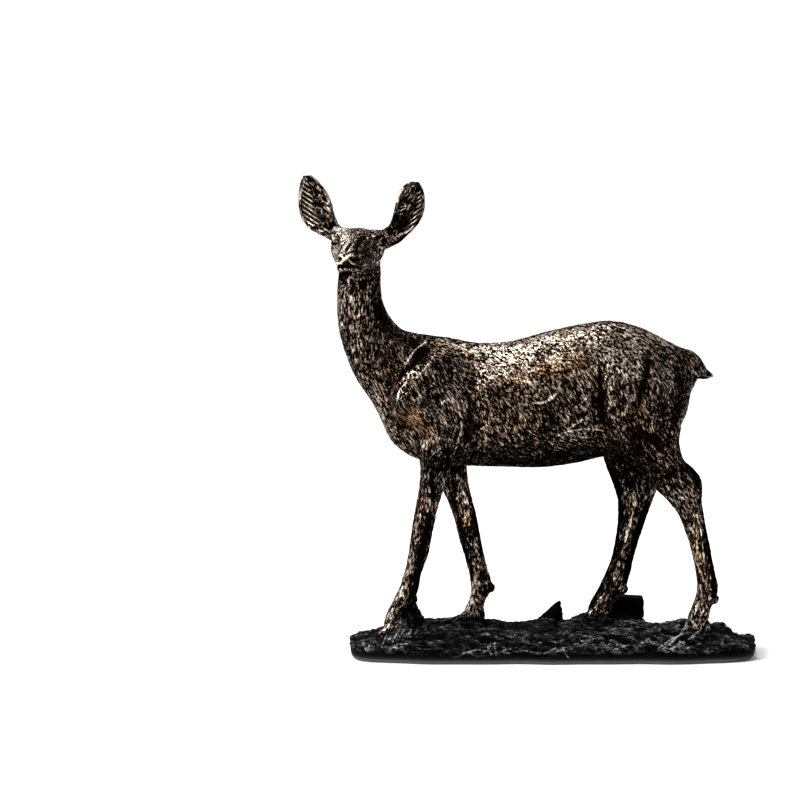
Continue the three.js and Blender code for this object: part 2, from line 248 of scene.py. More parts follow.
# Each point moves towards the middle of its neighbours.
def relax(points, edges, strength, rounds):
    i = np.concatenate([edges[:, 0], edges[:, 1]])
    j = np.concatenate([edges[:, 1], edges[:, 0]])
    count = len(points)
    share = (strength / np.maximum(np.bincount(i, minlength=count), 1))[:, None]
    strength = strength[:, None]
    for _ in range(rounds):
        total = [np.bincount(i, weights=points[j, k], minlength=count) for k in range(3)]
        points = points + np.stack(total, 1) * share - points * strength
    return points


# How near each point is to a line through places: 1 on it, fading over its half width.
def nearLine(points, places, halfWidth):
    places = np.asarray(places, float)
    fine = smoothLine(places, np.linspace(0, 1, 8 * len(places)))
    low, high = fine.min(0) - 3 * halfWidth, fine.max(0) + 3 * halfWidth
    close = np.where(((points > low) & (points < high)).all(1))[0]
    best = np.full(len(close), 1e9)
    taper = np.ones(len(close))
    for k in range(len(fine) - 1):
        start, run = fine[k], fine[k + 1] - fine[k]
        share = np.clip(((points[close] - start) @ run) / max(run @ run, 1e-9), 0, 1)
        away = np.linalg.norm(points[close] - start - share[:, None] * run, axis=1)
        along = (k + share) / (len(fine) - 1)
        nearer = away < best
        best = np.where(nearer, away, best)
        taper = np.where(nearer, np.clip(6 * np.minimum(along, 1 - along) + 0.25, 0, 1), taper)
    near = np.zeros(len(points))
    near[close] = np.exp(-((best / halfWidth) ** 2)) * taper
    return near


# Soft spots in the side view, one for each row: x, z, reach along x and z, amount.
def softSpots(points, rows):
    spots = []
    for x, z, reachX, reachZ, amount in rows:
        away = ((points[:, 0] - x) / reachX) ** 2 + ((points[:, 2] - z) / reachZ) ** 2
        spots.append(amount * np.exp(-away))
    return spots


# A line drawn on to the nearest points of a surface.
def laidOn(tree, places):
    fine = smoothLine(places, np.linspace(0, 1, 5 * len(places)))
    return np.array([tree.find(place)[0] for place in fine])


def keep(mesh, name, values):
    mesh.attributes.new(name, "FLOAT", "POINT").data.foreach_set("value", values.astype(np.float32))


# raised lines as tubes: sides, half width over each line's own, share of it that the ends keep
tubing = {"sides": 8, "thickness": 1.0, "endShare": 0.35}


# Tubes that follow lines, as a node tree, and the identifiers of its inputs.
def tubeTree(label):
    tree = bpy.data.node_groups.new(label, "GeometryNodeTree")
    kinds = {"Geometry": "Geometry", "Sides": "Int", "Thickness": "Float", "Finish": "Material"}
    sockets = {}
    for name, kind in kinds.items():
        socket = tree.interface.new_socket(name, in_out="INPUT", socket_type="NodeSocket" + kind)
        sockets[name] = socket.identifier
    tree.interface.new_socket("Geometry", in_out="OUTPUT", socket_type="NodeSocketGeometry")
    nodes = tree.nodes
    given = nodes.new("NodeGroupInput")
    lines = nodes.new("GeometryNodeMeshToCurve")
    circle = nodes.new("GeometryNodeCurvePrimitiveCircle")
    share = nodes.new("GeometryNodeInputNamedAttribute")
    share.inputs["Name"].default_value = "thick"
    scale = nodes.new("ShaderNodeMath")
    scale.operation = "MULTIPLY"
    tube = nodes.new("GeometryNodeCurveToMesh")
    tube.inputs["Fill Caps"].default_value = True
    circle.inputs["Radius"].default_value = 1
    real = nodes.new("GeometryNodeRealizeInstances")
    finishNode = nodes.new("GeometryNodeSetMaterial")
    result = nodes.new("NodeGroupOutput")
    for source, leaving, target, entering in [
        (given, "Geometry", lines, "Mesh"),
        (given, "Sides", circle, "Resolution"),
        (given, "Thickness", scale, 0),
        (share, "Attribute", scale, 1),
        (lines, "Curve", tube, "Curve"),
        (circle, "Curve", tube, "Profile Curve"),
        (scale, "Value", tube, "Scale"),
        (tube, "Mesh", real, "Geometry"),
        (real, "Geometry", finishNode, "Geometry"),
        (given, "Finish", finishNode, "Material"),
        (finishNode, "Geometry", result, "Geometry"),
    ]:
        tree.links.new(source.outputs[leaving], target.inputs[entering])
    return tree, sockets


# A shell of tubes along many lines: each line is its places and its half width.
def tubesAlong(tubes, lines, finish):
    tree, sockets = tubes
    points, edges, thick = [], [], []
    for places, size in lines:
        start = len(points)
        points += [tuple(place) for place in places]
        edges += [(start + k, start + k + 1) for k in range(len(places) - 1)]
        ends = np.sin(math.pi * np.linspace(0.08, 0.92, len(places)))
        thick += [size * (tubing["endShare"] + (1 - tubing["endShare"]) * share) for share in ends]
    mesh = bpy.data.meshes.new("lines")
    mesh.from_pydata(points, edges, [])
    mesh.attributes.new("thick", "FLOAT", "POINT").data.foreach_set("value", thick)
    piece = linked("lines", mesh)
    modifier = piece.modifiers.new("tubes", "NODES")
    modifier.node_group = tree
    modifier[sockets["Sides"]] = tubing["sides"]
    modifier[sockets["Thickness"]] = tubing["thickness"]
    modifier[sockets["Finish"]] = finish
    return shellOf(evaluated(piece))


# One socket of a material, so that its numbers are worked out as Python expressions.
class Value:
    def __init__(self, finish, socket):
        self.finish = finish
        self.socket = socket

    def _math(self, operation, *others):
        return self.finish.add("ShaderNodeMath", {"operation": operation}, dict(enumerate((self, *others))))

    def __add__(self, other):
        return self._math("ADD", other)

    __radd__ = __add__

    def __mul__(self, other):
        return self._math("MULTIPLY", other)

    def __sub__(self, other):
        return self._math("SUBTRACT", other)

    def __rsub__(self, other):
        return self.finish.add("ShaderNodeMath", {"operation": "SUBTRACT"}, {0: other, 1: self})

    def magnitude(self):
        return self._math("ABSOLUTE")

    def clamped(self):
        return self._math("MINIMUM", 1.0)._math("MAXIMUM", 0.0)

    # 1 where the value is at a middle, falling to 0 at a reach from it
    def nearTo(self, middle, reach):
        return 1 - ((self - middle).magnitude() * (1 / reach)).clamped()

    def between(self, low, high):
        sockets = {"Value": self, "From Min": low, "From Max": high}
        return self.finish.add("ShaderNodeMapRange", {"interpolation_type": "SMOOTHSTEP"}, sockets)


class Finish:
    def __init__(self, name):
        self.material = bpy.data.materials.new(name)
        self.material.use_nodes = True
        self.tree = self.material.node_tree
        self.tree.nodes.clear()

    def add(self, kind, settings=None, sockets=None, output=0):
        node = self.tree.nodes.new(kind)
        for key, value in (settings or {}).items():
            setattr(node, key, value)
        for key, value in (sockets or {}).items():
            if isinstance(value, Value):
                self.tree.links.new(value.socket, node.inputs[key])
            else:
                node.inputs[key].default_value = value
        return Value(self, node.outputs[output]) if node.outputs else node

    def attribute(self, name):
        return self.add("ShaderNodeAttribute", {"attribute_name": name}, output="Fac")

    def place(self):
        return self.add("ShaderNodeTexCoord", output="Object")

    def stretched(self, place, stretch):
        return self.add("ShaderNodeVectorMath", {"operation": "MULTIPLY"}, {0: place, 1: stretch})

    def noise(self, scale, detail=3, roughness=0.5, stretch=(1, 1, 1)):
        place = self.stretched(self.place(), stretch)
        sockets = {"Vector": place, "Scale": scale, "Detail": detail, "Roughness": roughness}
        return self.add("ShaderNodeTexNoise", {}, sockets)

    # streaks that lean by an angle in the side view, fine across and long along
    def strands(self, angle, across, along):
        turn = {"Vector": self.place(), "Rotation": (0, math.radians(angle), 0)}
        turned = self.add("ShaderNodeMapping", {"vector_type": "POINT"}, turn)
        sockets = {
            "Vector": self.stretched(turned, (across, across, along)),
            "Scale": 1,
            "Detail": 1.5,
            "Distortion": 0.5,
        }
        return self.add("ShaderNodeTexNoise", {}, sockets).between(0.4, 0.6)

    # thin lines where a noise crosses its middle
    def threads(self, scale, detail, thinness):
        crossing = (self.noise(scale, detail=detail, roughness=0.6, stretch=(1, 2.6, 2.6)) - 0.5).magnitude()
        return (1 - crossing * thinness).clamped()

    def mixed(self, share, first, second):
        sockets = {0: share, 6: first, 7: second}
        return self.add("ShaderNodeMix", {"data_type": "RGBA"}, sockets, output=2)

    def ramp(self, share, stops):
        colour = self.add("ShaderNodeValToRGB", sockets={"Fac": share})
        elements = colour.socket.node.color_ramp.elements
        while len(elements) < len(stops):
            elements.new(0.5)
        for element, (place, tone) in zip(elements, stops):
            element.position = place
            element.color = (*tone, 1)
        return colour

    def bump(self, height, strength, depth):
        return self.add("ShaderNodeBump", sockets={"Strength": strength, "Distance": depth, "Height": height})

    def shown(self, shader):
        self.add("ShaderNodeOutputMaterial", {}, {"Surface": shader})
        return self.material


body = {
    # back line x, z, belly line x, z, half width
    "stations": [
        [97, 190, 97, 168, 8], [91, 197, 93, 150, 16], [78, 204, 82, 133, 22], [60.5, 212.5, 60.5, 124, 26],
        [41, 217, 37, 121.5, 30], [18.5, 214.5, 15, 116.5, 33], [-6, 209, -9.5, 113.5, 33.5],
        [-30.5, 202.5, -34, 114, 32], [-53, 201.5, -58.5, 114.5, 28.5], [-72.5, 205, -81.5, 116, 25],
        [-86.5, 207, -100, 121.5, 22.5], [-97.5, 208.5, -113, 131.5, 20.5], [-105.5, 211, -120, 145.5, 20],
        [-111.5, 216, -127, 159.5, 18], [-116, 222.5, -137.5, 175, 16], [-119.5, 231, -145.5, 193.5, 14],
        [-121, 241.5, -150.5, 212.5, 12.5], [-120.7, 253, -151.5, 231.5, 12],
        [-121, 266, -150.5, 254, 11.5],
    ],
    # forms on the flanks: from x, z, to x, z, reach, rise
    "forms": [
        [-83, 196, -103, 168, 11, 6], [-105, 158, -74, 139, 11, 9], [-58, 184, -58, 140, 8, -4],
        [-114, 182, -119, 146, 5, -4], [68, 190, 66, 158, 18, 7], [48, 156, 50, 142, 11, 5],
        [32, 188, 32, 145, 6, -5], [24, 160, 20, 150, 12, -2], [66, 184, 67, 150, 4, -2.5],
    ],
    "tail": [
        [86, 199, 86, 176, 9], [98, 196, 97, 177, 7.5], [104.5, 189.5, 102, 176, 6],
        [108, 183, 107, 175.5, 4], [111.5, 180, 111, 177, 2],
    ],
}

legs = {
    # front line x, z, rear line x, z, half width; y runs from the first to the last station
    "nearFore": {
        "y": (-18, -16),
        "stations": [
            [-100.5, 146, -68, 146, 9], [-98, 132, -67, 133, 12.5], [-93.5, 118.5, -71, 120, 10.5],
            [-94, 103, -76, 103, 8], [-97, 85.5, -81.2, 85.5, 7], [-99.5, 69.5, -84.7, 68.5, 6.6],
            [-101.5, 55, -87.2, 55, 6.2], [-104.5, 41, -92, 41, 5.2], [-108.5, 29.5, -94.6, 29, 5.8],
            [-113, 20, -97.8, 22, 6], [-116.5, 13, -104.5, 15, 5.4], [-118.5, 6, -105.5, 7.5, 6],
            [-119.5, -2, -106, -2, 6],
        ],
        "hoof": (-105, -16, -3),
    },
    "farFore": {
        "y": (18, 16),
        "stations": [
            [-88, 146, -58, 146, 9], [-87, 131, -58.5, 132, 12.5], [-83, 113, -60.5, 115, 9.6],
            [-76.8, 93.5, -58.5, 96, 7.8], [-70.3, 77.5, -54, 79, 7], [-66.3, 62, -51, 63.5, 6.6],
            [-62.3, 48.5, -48.5, 50.5, 6], [-58.8, 34.5, -45, 36.5, 5.2], [-57.5, 25, -42.5, 26.5, 5.8],
            [-58.5, 17, -47.5, 14.5, 5.4], [-61.5, 10, -49, 7.5, 6], [-64, 2, -50.5, 2, 6],
        ],
        "hoof": (-50, 16, 1),
    },
    "nearHind": {
        "y": (-20, -16),
        "stations": [
            [46, 170, 84, 166, 5], [38, 150, 90, 149, 13], [42.5, 131, 88.5, 133.5, 13.5],
            [57.5, 115.5, 91.5, 121.5, 11], [69, 103, 99, 114.5, 8.4], [80, 92.5, 104, 106.5, 7.4],
            [88, 82, 104.5, 90.5, 6.6], [93, 69, 107.5, 73, 5.8], [97, 56, 110.5, 58, 5.4],
            [100, 41.5, 113.5, 43, 5.2], [101, 29, 116, 28, 5.8], [98.5, 19.5, 112, 18.5, 5.6],
            [95, 10, 109.5, 9, 6], [93.5, -2, 108.5, -2, 6],
        ],
        "hoof": (108, -16, -3),
    },
    "farHind": {
        "y": (20, 16),
        "stations": [
            [46, 168, 80, 166, 5], [35.5, 146, 84, 146, 13], [35.5, 119, 79.5, 116, 12],
            [41, 103, 74.8, 98, 8.6], [45.4, 89.5, 71.3, 88, 7.4], [46.2, 77, 67.2, 77, 6.4],
            [44.5, 60, 61.7, 60, 5.8], [41.3, 45, 57.2, 45, 5.4], [36, 32, 54.7, 33, 5.6],
            [30.3, 21, 51, 23, 5.8], [25.8, 12, 42, 11, 6], [24, 3, 39.8, 3, 6],
        ],
        "hoof": (39.5, 16, 3),
    },
}

# dewclaws and elbows: x, y, z and the three half sizes
bonyPoints = [
    [112.8, -16, 22, 4.2, 5.4, 3.6], [-44.5, 16, 25, 4.4, 5.4, 3.6], [-98.5, -16, 22, 3.6, 5.4, 3.6],
    [49.5, 16, 24, 4.4, 5.4, 3.6], [-70, -17, 138, 6, 8, 8], [-61, 17, 138, 6, 8, 8],
]

# a toe of a cloven hoof: along, share of the heel's height, half width
toe = {
    "heelHeight": 11,
    "apart": 3,
    "spread": 1 / 16,
    "profile": [[1, 0.9, 2.8], [-4, 1, 3.2], [-10, 0.75, 3], [-15, 0.4, 2.1], [-17.5, 0.18, 1.1]],
}


def oneToe(at, side):
    rows = toe["profile"]
    x = [at[0] + row[0] for row in rows]
    y = [at[1] + side * (toe["apart"] - row[0] * toe["spread"]) for row in rows]
    a = [(x[i], y[i], at[2] + toe["heelHeight"] * row[1]) for i, row in enumerate(rows)]
    b = [(x[i], y[i], at[2]) for i in range(len(rows))]
    return loft(a, b, [row[2] for row in rows], sides=20, rings=4)


head = {
    "place": (-136, -7, 272),
    "turn": (0, 3, -8.5),
    # y, top, underside, half width, from the back of the skull to the nose
    "skull": [
        [14, 4, -10, 9.5], [6, 10.5, -16, 15.5], [-2, 11.5, -18, 18.6], [-10, 10, -18.5, 18.4],
        [-18, 6.5, -19, 15], [-27, 3, -18.5, 12.4], [-36, 0, -18, 10.6], [-43, -2, -17, 9.6],
    ],
    # forms on both sides: x, y, z and the three half sizes
    "pairs": [
        [8, -8, -8, 6.5, 11, 8], [9, -1, 6.2, 8, 8, 5], [13, -9.5, 7.4, 4.4, 6, 2.2], [13, 2, 6, 6.5, 7, 5],
        [15.8, -10.5, 4, 2.8, 3.6, 3],
    ],
    "nosePad": [0, -44, -4.6, 7.6, 4, 4.6],
    "eye": (15.8, -10.5, 4),
}

headTurn = np.array(Euler([math.radians(angle) for angle in head["turn"]]).to_matrix())

eyePlaces = [np.array(head["eye"]) * (side, 1, 1) for side in (1, -1)]


def fromHead(points):
    return np.asarray(points, float) @ headTurn.T + np.array(head["place"])


def toHead(points):
    return (points - np.array(head["place"])) @ headTurn


def headShells():
    rows = head["skull"]
    a = [(0, row[0], row[1]) for row in rows]
    b = [(0, row[0], row[2]) for row in rows]
    shells = [loft(a, b, [row[3] for row in rows], egg=-0.12, cap=0.5)]
    for side in (1, -1):
        shells += [ovoid([side * row[0], *row[1:]]) for row in head["pairs"]]
    shells.append(ovoid(head["nosePad"]))
    return [(fromHead(points), faces) for points, faces in shells]


ears = {
    # rows: inner rim x, z, outer rim x, z, depth behind the rims
    # ribs: slope and pitch in the photo's pixels, how far up the ear and how far in they go
    "left": {
        "rows": [
            [-149, 284, -154, 273, 5], [-151.5, 288.5, -163, 278, 6], [-153.5, 294, -171, 282.5, 8],
            [-154.5, 299, -176, 288.5, 9], [-156.5, 304.5, -178.5, 297, 8.5], [-160, 311, -178.5, 306, 7],
            [-165, 316.5, -177.5, 314.5, 4.5], [-170, 320.5, -175, 320, 2],
        ],
        "innerY": (-4, -7),
        "outerY": (-4, -5),
        "ribs": (0.66, 4.7, 1, 1.3),
    },
    "right": {
        "rows": [
            [-121, 281.5, -121, 265.5, 5], [-115.5, 285, -110.2, 270.8, 6], [-113, 290.5, -101.6, 277.8, 8],
            [-111.5, 297, -95, 284.6, 9], [-110, 303, -90.6, 293.5, 8.5], [-107.8, 309.5, -89.8, 302, 7],
            [-103.8, 314.5, -91, 309.5, 4.5], [-99.5, 316.5, -94, 315.5, 2],
        ],
        "innerY": (-4, -10),
        "outerY": (-3, -3),
        "ribs": (-0.7, 4.3, 0.8, 0.9),
    },
    "thickness": 2.6,
    "closedShare": 0.22,
    "openShare": 0.42,
    "hollowFrom": 0.26,
    "rimTube": 1.15,
    "rimTurn": 0.05,
    "tufts": 14,
}


# Places on an ear's hollow: t from root to tip, turn from the inner rim (pi) to the outer (0).
def earPlaces(ear, t, turn, outside=False):
    rows = ear["rows"]
    u = np.linspace(0, 1, len(rows))
    innerY = np.interp(u, [0, 1], ear["innerY"])
    outerY = np.interp(u, [0, 1], ear["outerY"])
    a = smoothLine([(row[0], innerY[i], row[1]) for i, row in enumerate(rows)], t)
    b = smoothLine([(row[2], outerY[i], row[3]) for i, row in enumerate(rows)], t)
    depth = smoothLine([(row[4], i) for i, row in enumerate(rows)], t)[:, 0]
    share = (1 - np.cos(turn)) / 2
    if outside:
        push = depth * np.sin(turn)
    else:
        wall = np.minimum(ears["thickness"], depth * 0.7)
        opening = smoothstep(t, ears["closedShare"], ears["openShare"])
        front = -depth * 0.8 * (1 - opening) + (depth - wall) * opening
        rim = ears["thickness"] / 2 / np.linalg.norm(a - b, axis=1) * opening
        share = rim + (1 - 2 * rim) * share
        push = front * np.sin(turn)
    places = a + (b - a) * share[:, None]
    places[:, 1] += push
    return places


def earShell(ear):
    arc, rings = 14, 8
    made = []
    for t in np.linspace(0, 1, (len(ear["rows"]) - 1) * rings + 1):
        level = np.full(arc, t)
        back = earPlaces(ear, level, math.pi * np.arange(arc) / arc, outside=True)
        front = earPlaces(ear, level, math.pi * (1 - np.arange(arc) / arc))
        made.append(np.vstack([back, front]))
    return closeRings(np.array(made))


def earTufts(ear, rng):
    lines = []
    for _ in range(ears["tufts"]):
        t = rng.uniform(0.36, 0.9)
        turn = rng.uniform(0.4, 1.5)
        share = np.linspace(0, 1, 5)
        level = np.clip(t + share * rng.uniform(0.05, 0.1), 0, 0.98)
        lines.append((earPlaces(ear, level, turn + share * rng.uniform(-0.2, 0.5)), rng.uniform(0.4, 0.65)))
    return lines


def earRims(ear):
    t = np.linspace(0.3, 0.99, 24)
    turns = (ears["rimTurn"], math.pi - ears["rimTurn"])
    return [(earPlaces(ear, t, np.full(len(t), turn)), ears["rimTube"]) for turn in turns]


# How far each point lies in the hollow of an ear, and how near to its ribs and tufts.
def earInside(points):
    rng = np.random.default_rng(hair["seed"])
    hollow, ribs = np.zeros(len(points)), np.zeros(len(points))
    seen = seenAt(points)
    start = ears["hollowFrom"]
    grid = np.meshgrid(np.linspace(start, 0.99, 90), np.linspace(0.1, math.pi - 0.1, 60))
    t, turn = grid[0].ravel(), grid[1].ravel()
    for ear in ears["left"], ears["right"]:
        slope, pitch, top, inwards = ear["ribs"]
        floor = earPlaces(ear, t, turn)
        tree = treeOf(floor)
        low, high = floor.min(0) - 3, floor.max(0) + 3
        for i in np.where(((points > low) & (points < high)).all(1))[0]:
            hits = tree.find_n(points[i], 3)
            inside = 1 - smoothstep(hits[0][2], 0.9, 1.6)
            if inside <= hollow[i]:
                continue
            hollow[i] = inside
            share = np.array([1 / (hit[2] + 0.05) for hit in hits])
            near = [hit[1] for hit in hits]
            level, around = (t[near] @ share) / share.sum(), (turn[near] @ share) / share.sum()
            fromRim = math.pi - around
            place = (seen[i, 1] - slope * seen[i, 0]) / pitch
            ends = smoothstep(level, start, 0.3) * (1 - smoothstep(level, top, top + 0.1))
            ends *= smoothstep(fromRim, 0.12, 0.3) * (1 - smoothstep(fromRim, inwards, inwards + 0.45))
            ribs[i] = (0.5 + 0.5 * math.cos(2 * math.pi * place)) ** 1.3 * ends * inside
        for places, size in earTufts(ear, rng):
            ribs = np.maximum(ribs, nearLine(points, places, size) * hollow)
    return hollow, ribs


def earRimsNear(points):
    near = np.zeros(len(points))
    for ear in ears["left"], ears["right"]:
        for places, size in earRims(ear):
            near = np.maximum(near, nearLine(points, places, size))
    return near


casting = {
    "voxel": 0.68,
    # evening out of the voxels' steps: how strong from a height up, in the ears, and how strong elsewhere
    "evenRounds": 3,
    "earsFrom": 288,
    "evenEars": 0.2,
    "evenRest": 0.5,
    "mergeRounds": 60,
    "mergeStrength": 0.5,
    "hollowEdge": 0.2,
    "mostTriangles": 196000,
    # where limbs run into the body: x, y, z, reach
    "merges": [
        [48, -24, 158, 17], [60, -26, 138, 13], [86, -24, 142, 15], [60, 26, 138, 14], [44, 24, 152, 15],
        [84, 24, 146, 14], [-84, -20, 140, 15], [-70, -18, 128, 10], [-98, -18, 130, 10],
        [-72, 20, 140, 16], [-60, 18, 128, 10], [92, 0, 186, 16], [-128, -4, 262, 12], [-146, -6, 264, 9],
        [-121, -4, 275, 8], [-117, -2, 270, 7], [-149, -4, 278, 7], [-146, -2, 272, 6],
    ],
}


# The places of the eyes, the nose and the mouth.
def onFeatures(points):
    inHead = toHead(points)
    muzzle = (inHead[:, 1] < -37) & (np.abs(inHead[:, 0]) < 12) & (np.abs(inHead[:, 2] + 8) < 12)
    for eyePlace in eyePlaces:
        muzzle |= np.linalg.norm(inHead - eyePlace, axis=1) < 6
    return muzzle | ((inHead[:, 1] < -14) & (inHead[:, 0] < 3) & (np.abs(inHead[:, 2] + 4) < 14))


def doeCasting(tubes, finish):
    shells = [
        loft(*sideView(body["stations"]), sides=72, egg=0.12, cap=0.5, forms=body["forms"]),
        loft(*sideView(body["tail"]), cap=1),
        *headShells(),
        *[ovoid(row) for row in bonyPoints],
    ]
    for leg in legs.values():
        shells.append(loft(*sideView(leg["stations"], *leg["y"])))
        shells += [oneToe(leg["hoof"], side) for side in (1, -1)]
    lines = []
    for ear in ears["left"], ears["right"]:
        shells.append(earShell(ear))
        lines += earRims(ear)
    shells.append(tubesAlong(tubes, lines, finish))
    whole = modified(meshOf("doe_shells", shells), "REMESH", mode="VOXEL", voxel_size=casting["voxel"])
    print("doe: one surface of", len(whole.vertices), "points")

    points, edges = pointsOf(whole), edgesOf(whole)
    even = np.where(points[:, 2] > casting["earsFrom"], casting["evenEars"], casting["evenRest"])
    points = relax(points, edges, even, casting["evenRounds"])
    blend = np.zeros(len(points))
    for x, y, z, reach in casting["merges"]:
        away = np.linalg.norm(points - (x, y, z), axis=1) / reach
        blend = np.maximum(blend, np.exp(-(away**4)))
    points = relax(points, edges, casting["mergeStrength"] * blend, casting["mergeRounds"])
    setPoints(whole, points)

    hollow, _ = earInside(points)
    whole = refined(whole, (hollow > casting["hollowEdge"]) | onFeatures(points))
    points = pointsOf(whole)
    hollow, _ = earInside(points)
    fine = (hollow > casting["hollowEdge"]) | onFeatures(points)
    setPoints(whole, relax(points, edgesOf(whole), np.where(fine, casting["evenRest"], 0.0), 2))
    print("doe: ears and face on a finer mesh,", len(whole.vertices), "points")
    return whole


hair = {
    "seed": 11,
    "count": 24000,
    "groove": 1.25,
    # x, y, z, then which way the hair lies, then length, half width and height of a lock
    "lie": [
        [-45, 0, 195, 0.65, 0, -0.75, 7.5, 0.95, 0.75], [0, 0, 200, 0.62, 0, -0.78, 7.5, 0.95, 0.75],
        [36, 0, 205, 0.5, 0, -0.87, 7.5, 0.95, 0.75], [62, 0, 205, 0.6, 0, -0.8, 7.5, 0.95, 0.75],
        [86, 0, 190, 0.25, 0, -0.97, 7, 0.95, 0.7], [65, 0, 165, 0.15, 0, -1, 7.5, 0.95, 0.7],
        [0, 0, 158, 0.55, 0, -0.84, 7, 0.9, 0.6], [-45, 0, 150, 0.5, 0, -0.86, 6.5, 0.9, 0.6],
        [0, 0, 122, 0.85, 0, -0.5, 7, 0.9, 0.5], [58, 0, 140, 0.4, 0, -0.92, 6.5, 0.9, 0.6],
        [84, 0, 112, 0.6, 0, -0.8, 5.5, 0.85, 0.6], [104, 0, 62, 0.15, 0, -1, 5, 0.8, 0.6],
        [106, 0, 25, -0.1, 0, -1, 4.5, 0.8, 0.55], [56, 0, 88, -0.05, 0, -1, 5, 0.8, 0.5],
        [46, 0, 45, -0.3, 0, -0.95, 4.5, 0.8, 0.5], [-86, 0, 182, 0.5, 0, -0.86, 6, 0.9, 0.65],
        [-92, 0, 152, 0.8, 0, -0.6, 9, 0.8, 0.35], [-74, 0, 160, 0.45, 0, -0.9, 6, 0.9, 0.65],
        [-80, 0, 125, -0.45, 0, -0.9, 5.5, 0.85, 0.65], [-94, 0, 80, -0.15, 0, -1, 5, 0.8, 0.6],
        [-104, 0, 35, -0.3, 0, -0.95, 4.5, 0.8, 0.6], [-56, 0, 50, 0.25, 0, -0.97, 4.5, 0.8, 0.6],
        [-66, 0, 90, 0.25, 0, -0.97, 5, 0.8, 0.6], [-104, 0, 190, 0.35, 0, -0.94, 12, 0.95, 0.75],
        [-122, 0, 165, 0.5, 0, -0.87, 12, 0.95, 0.65], [-134, 0, 215, 0.08, 0, -1, 12, 0.95, 0.75],
        [-132, 0, 242, -0.35, 0, -0.94, 11, 0.95, 0.75], [-148, 0, 235, 0.25, 0, -0.97, 11, 0.9, 0.75],
        [-122, 0, 232, 0.1, 0, -1, 10, 0.9, 0.5], [-76, 0, 203, 0.8, 0, -0.6, 6.5, 0.9, 0.6],
        [98, 0, 188, 0.8, 0, -0.6, 6, 0.85, 0.55], [-138, -22, 280, 0, 0.55, 0.85, 4.5, 0.75, 0.5],
        [-151, -16, 268, -0.35, 0.75, 0.5, 4.5, 0.75, 0.55],
        [-124, -12, 266, 0.45, 0.75, 0.4, 4.5, 0.75, 0.5], [-142, -36, 272, 0, 0.9, 0.3, 4, 0.65, 0.35],
        [-140, -20, 254, 0, 0.9, -0.4, 5, 0.75, 0.4], [-130, 8, 274, 0.1, 0.9, -0.4, 5, 0.8, 0.5],
        [-170, 4, 302, -0.45, 0, 0.9, 6, 0.8, 0.45], [-100, 4, 296, 0.45, 0, 0.9, 6, 0.8, 0.45],
    ],
    "lieReach": 20,
    # bare places: x, z, reach, how much of the hair is left
    "bare": [
        [-102, 152, 9, 0.3], [-92, 144, 8, 0.35], [-95, 196, 8, 0.1], [-87, 203, 7, 0.2],
    ],
}


# Which way the hair lies at each place, with the length, half width and height of its locks.
def hairLie(points, normals):
    rows = np.array(hair["lie"], float)
    stretch = np.array([1, 0.6, 1])
    onHead = np.linalg.norm(toHead(points) * (1, 0.7, 1) - (0, -12, -3), axis=1) < 32
    total = np.zeros((len(points), 6))
    weight = np.zeros(len(points))
    for row in rows:
        flat = stretch if row[1] != 0 else np.array([1, 0, 1])
        reach = hair["lieReach"] * (0.6 if row[1] != 0 else 1)
        away = np.linalg.norm((points - row[:3]) * flat, axis=1) / reach
        part = np.exp(-away * away) + 1e-6 / (1 + away**2)
        part = part * np.where(onHead == (row[1] != 0 and row[2] < 290), 1, 0.05)
        total += part[:, None] * row[3:]
        weight += part
    total /= weight[:, None]
    lie = total[:, :3]
    lie = unit(lie - (lie * normals).sum(1, keepdims=True) * normals)
    return lie, total[:, 3], total[:, 4], total[:, 5]


def leftOfHair(points):
    left = np.ones(len(points))
    for x, z, reach, share in hair["bare"]:
        away = np.linalg.norm(points[:, [0, 2]] - (x, z), axis=1) / reach
        left *= 1 - (1 - share) * np.exp(-(away**4))
    inHead = toHead(points)
    nose = (inHead - (0, -47, -5.5)) / (8.5, 6, 4.5)
    left *= 1 - 0.9 * np.exp(-((nose**2).sum(1) ** 2))
    for eyePlace in eyePlaces:
        left *= 1 - np.exp(-((np.linalg.norm(inHead - eyePlace, axis=1) / 4.6) ** 6))
    return left


# Overlapping locks, each a ridge that tapers to its point, set at random from one seed.
def carveHair(points, normals):
    rng = np.random.default_rng(hair["seed"] + 1)
    lie, length, wide, tall = hairLie(points, normals)
    tree = treeOf(points)
    chosen = rng.choice(len(points), hair["count"], replace=False)
    height = np.zeros(len(points))
    for i in chosen:
        long = length[i] * rng.uniform(0.7, 1.25)
        half = wide[i] * rng.uniform(0.8, 1.25)
        tilt = rng.normal(0, 0.16)
        across = np.cross(normals[i], lie[i])
        forward = lie[i] * math.cos(tilt) + across * math.sin(tilt)
        across = np.cross(normals[i], forward)
        near = np.fromiter((hit[1] for hit in tree.find_range(points[i], long / 2)), int)
        gap = points[near] - points[i]
        u = gap @ forward / (long / 2)
        taper = 1 - 0.5 * np.clip(u, 0, 1) ** 1.5
        out = np.abs(gap @ across + rng.normal(0, 0.25) * half * u * u) / (half * hair["groove"] * taper)
        cover = np.clip((1 - out) * 5, 0, 1) * np.clip((1 - u**4) * 3, 0, 1)
        cover = cover * (normals[near] @ normals[i] > 0.3)
        ridge = (1 - out * out * 1.2) * rng.uniform(0.75, 1.0) * (0.75 + 0.25 * u)
        height[near] += (ridge - height[near]) * cover
    return np.clip(height, 0, 1), tall


# The hair's angle in the side view: degrees from straight down, positive towards the rear.
def leanOf(lie):
    down = np.where(lie[:, 2:3] > 0, -lie, lie)
    lean = np.degrees(np.arctan2(down[:, 0], np.maximum(-down[:, 2], 0.05)))
    return np.clip(lean, min(patina["leans"]), max(patina["leans"]))


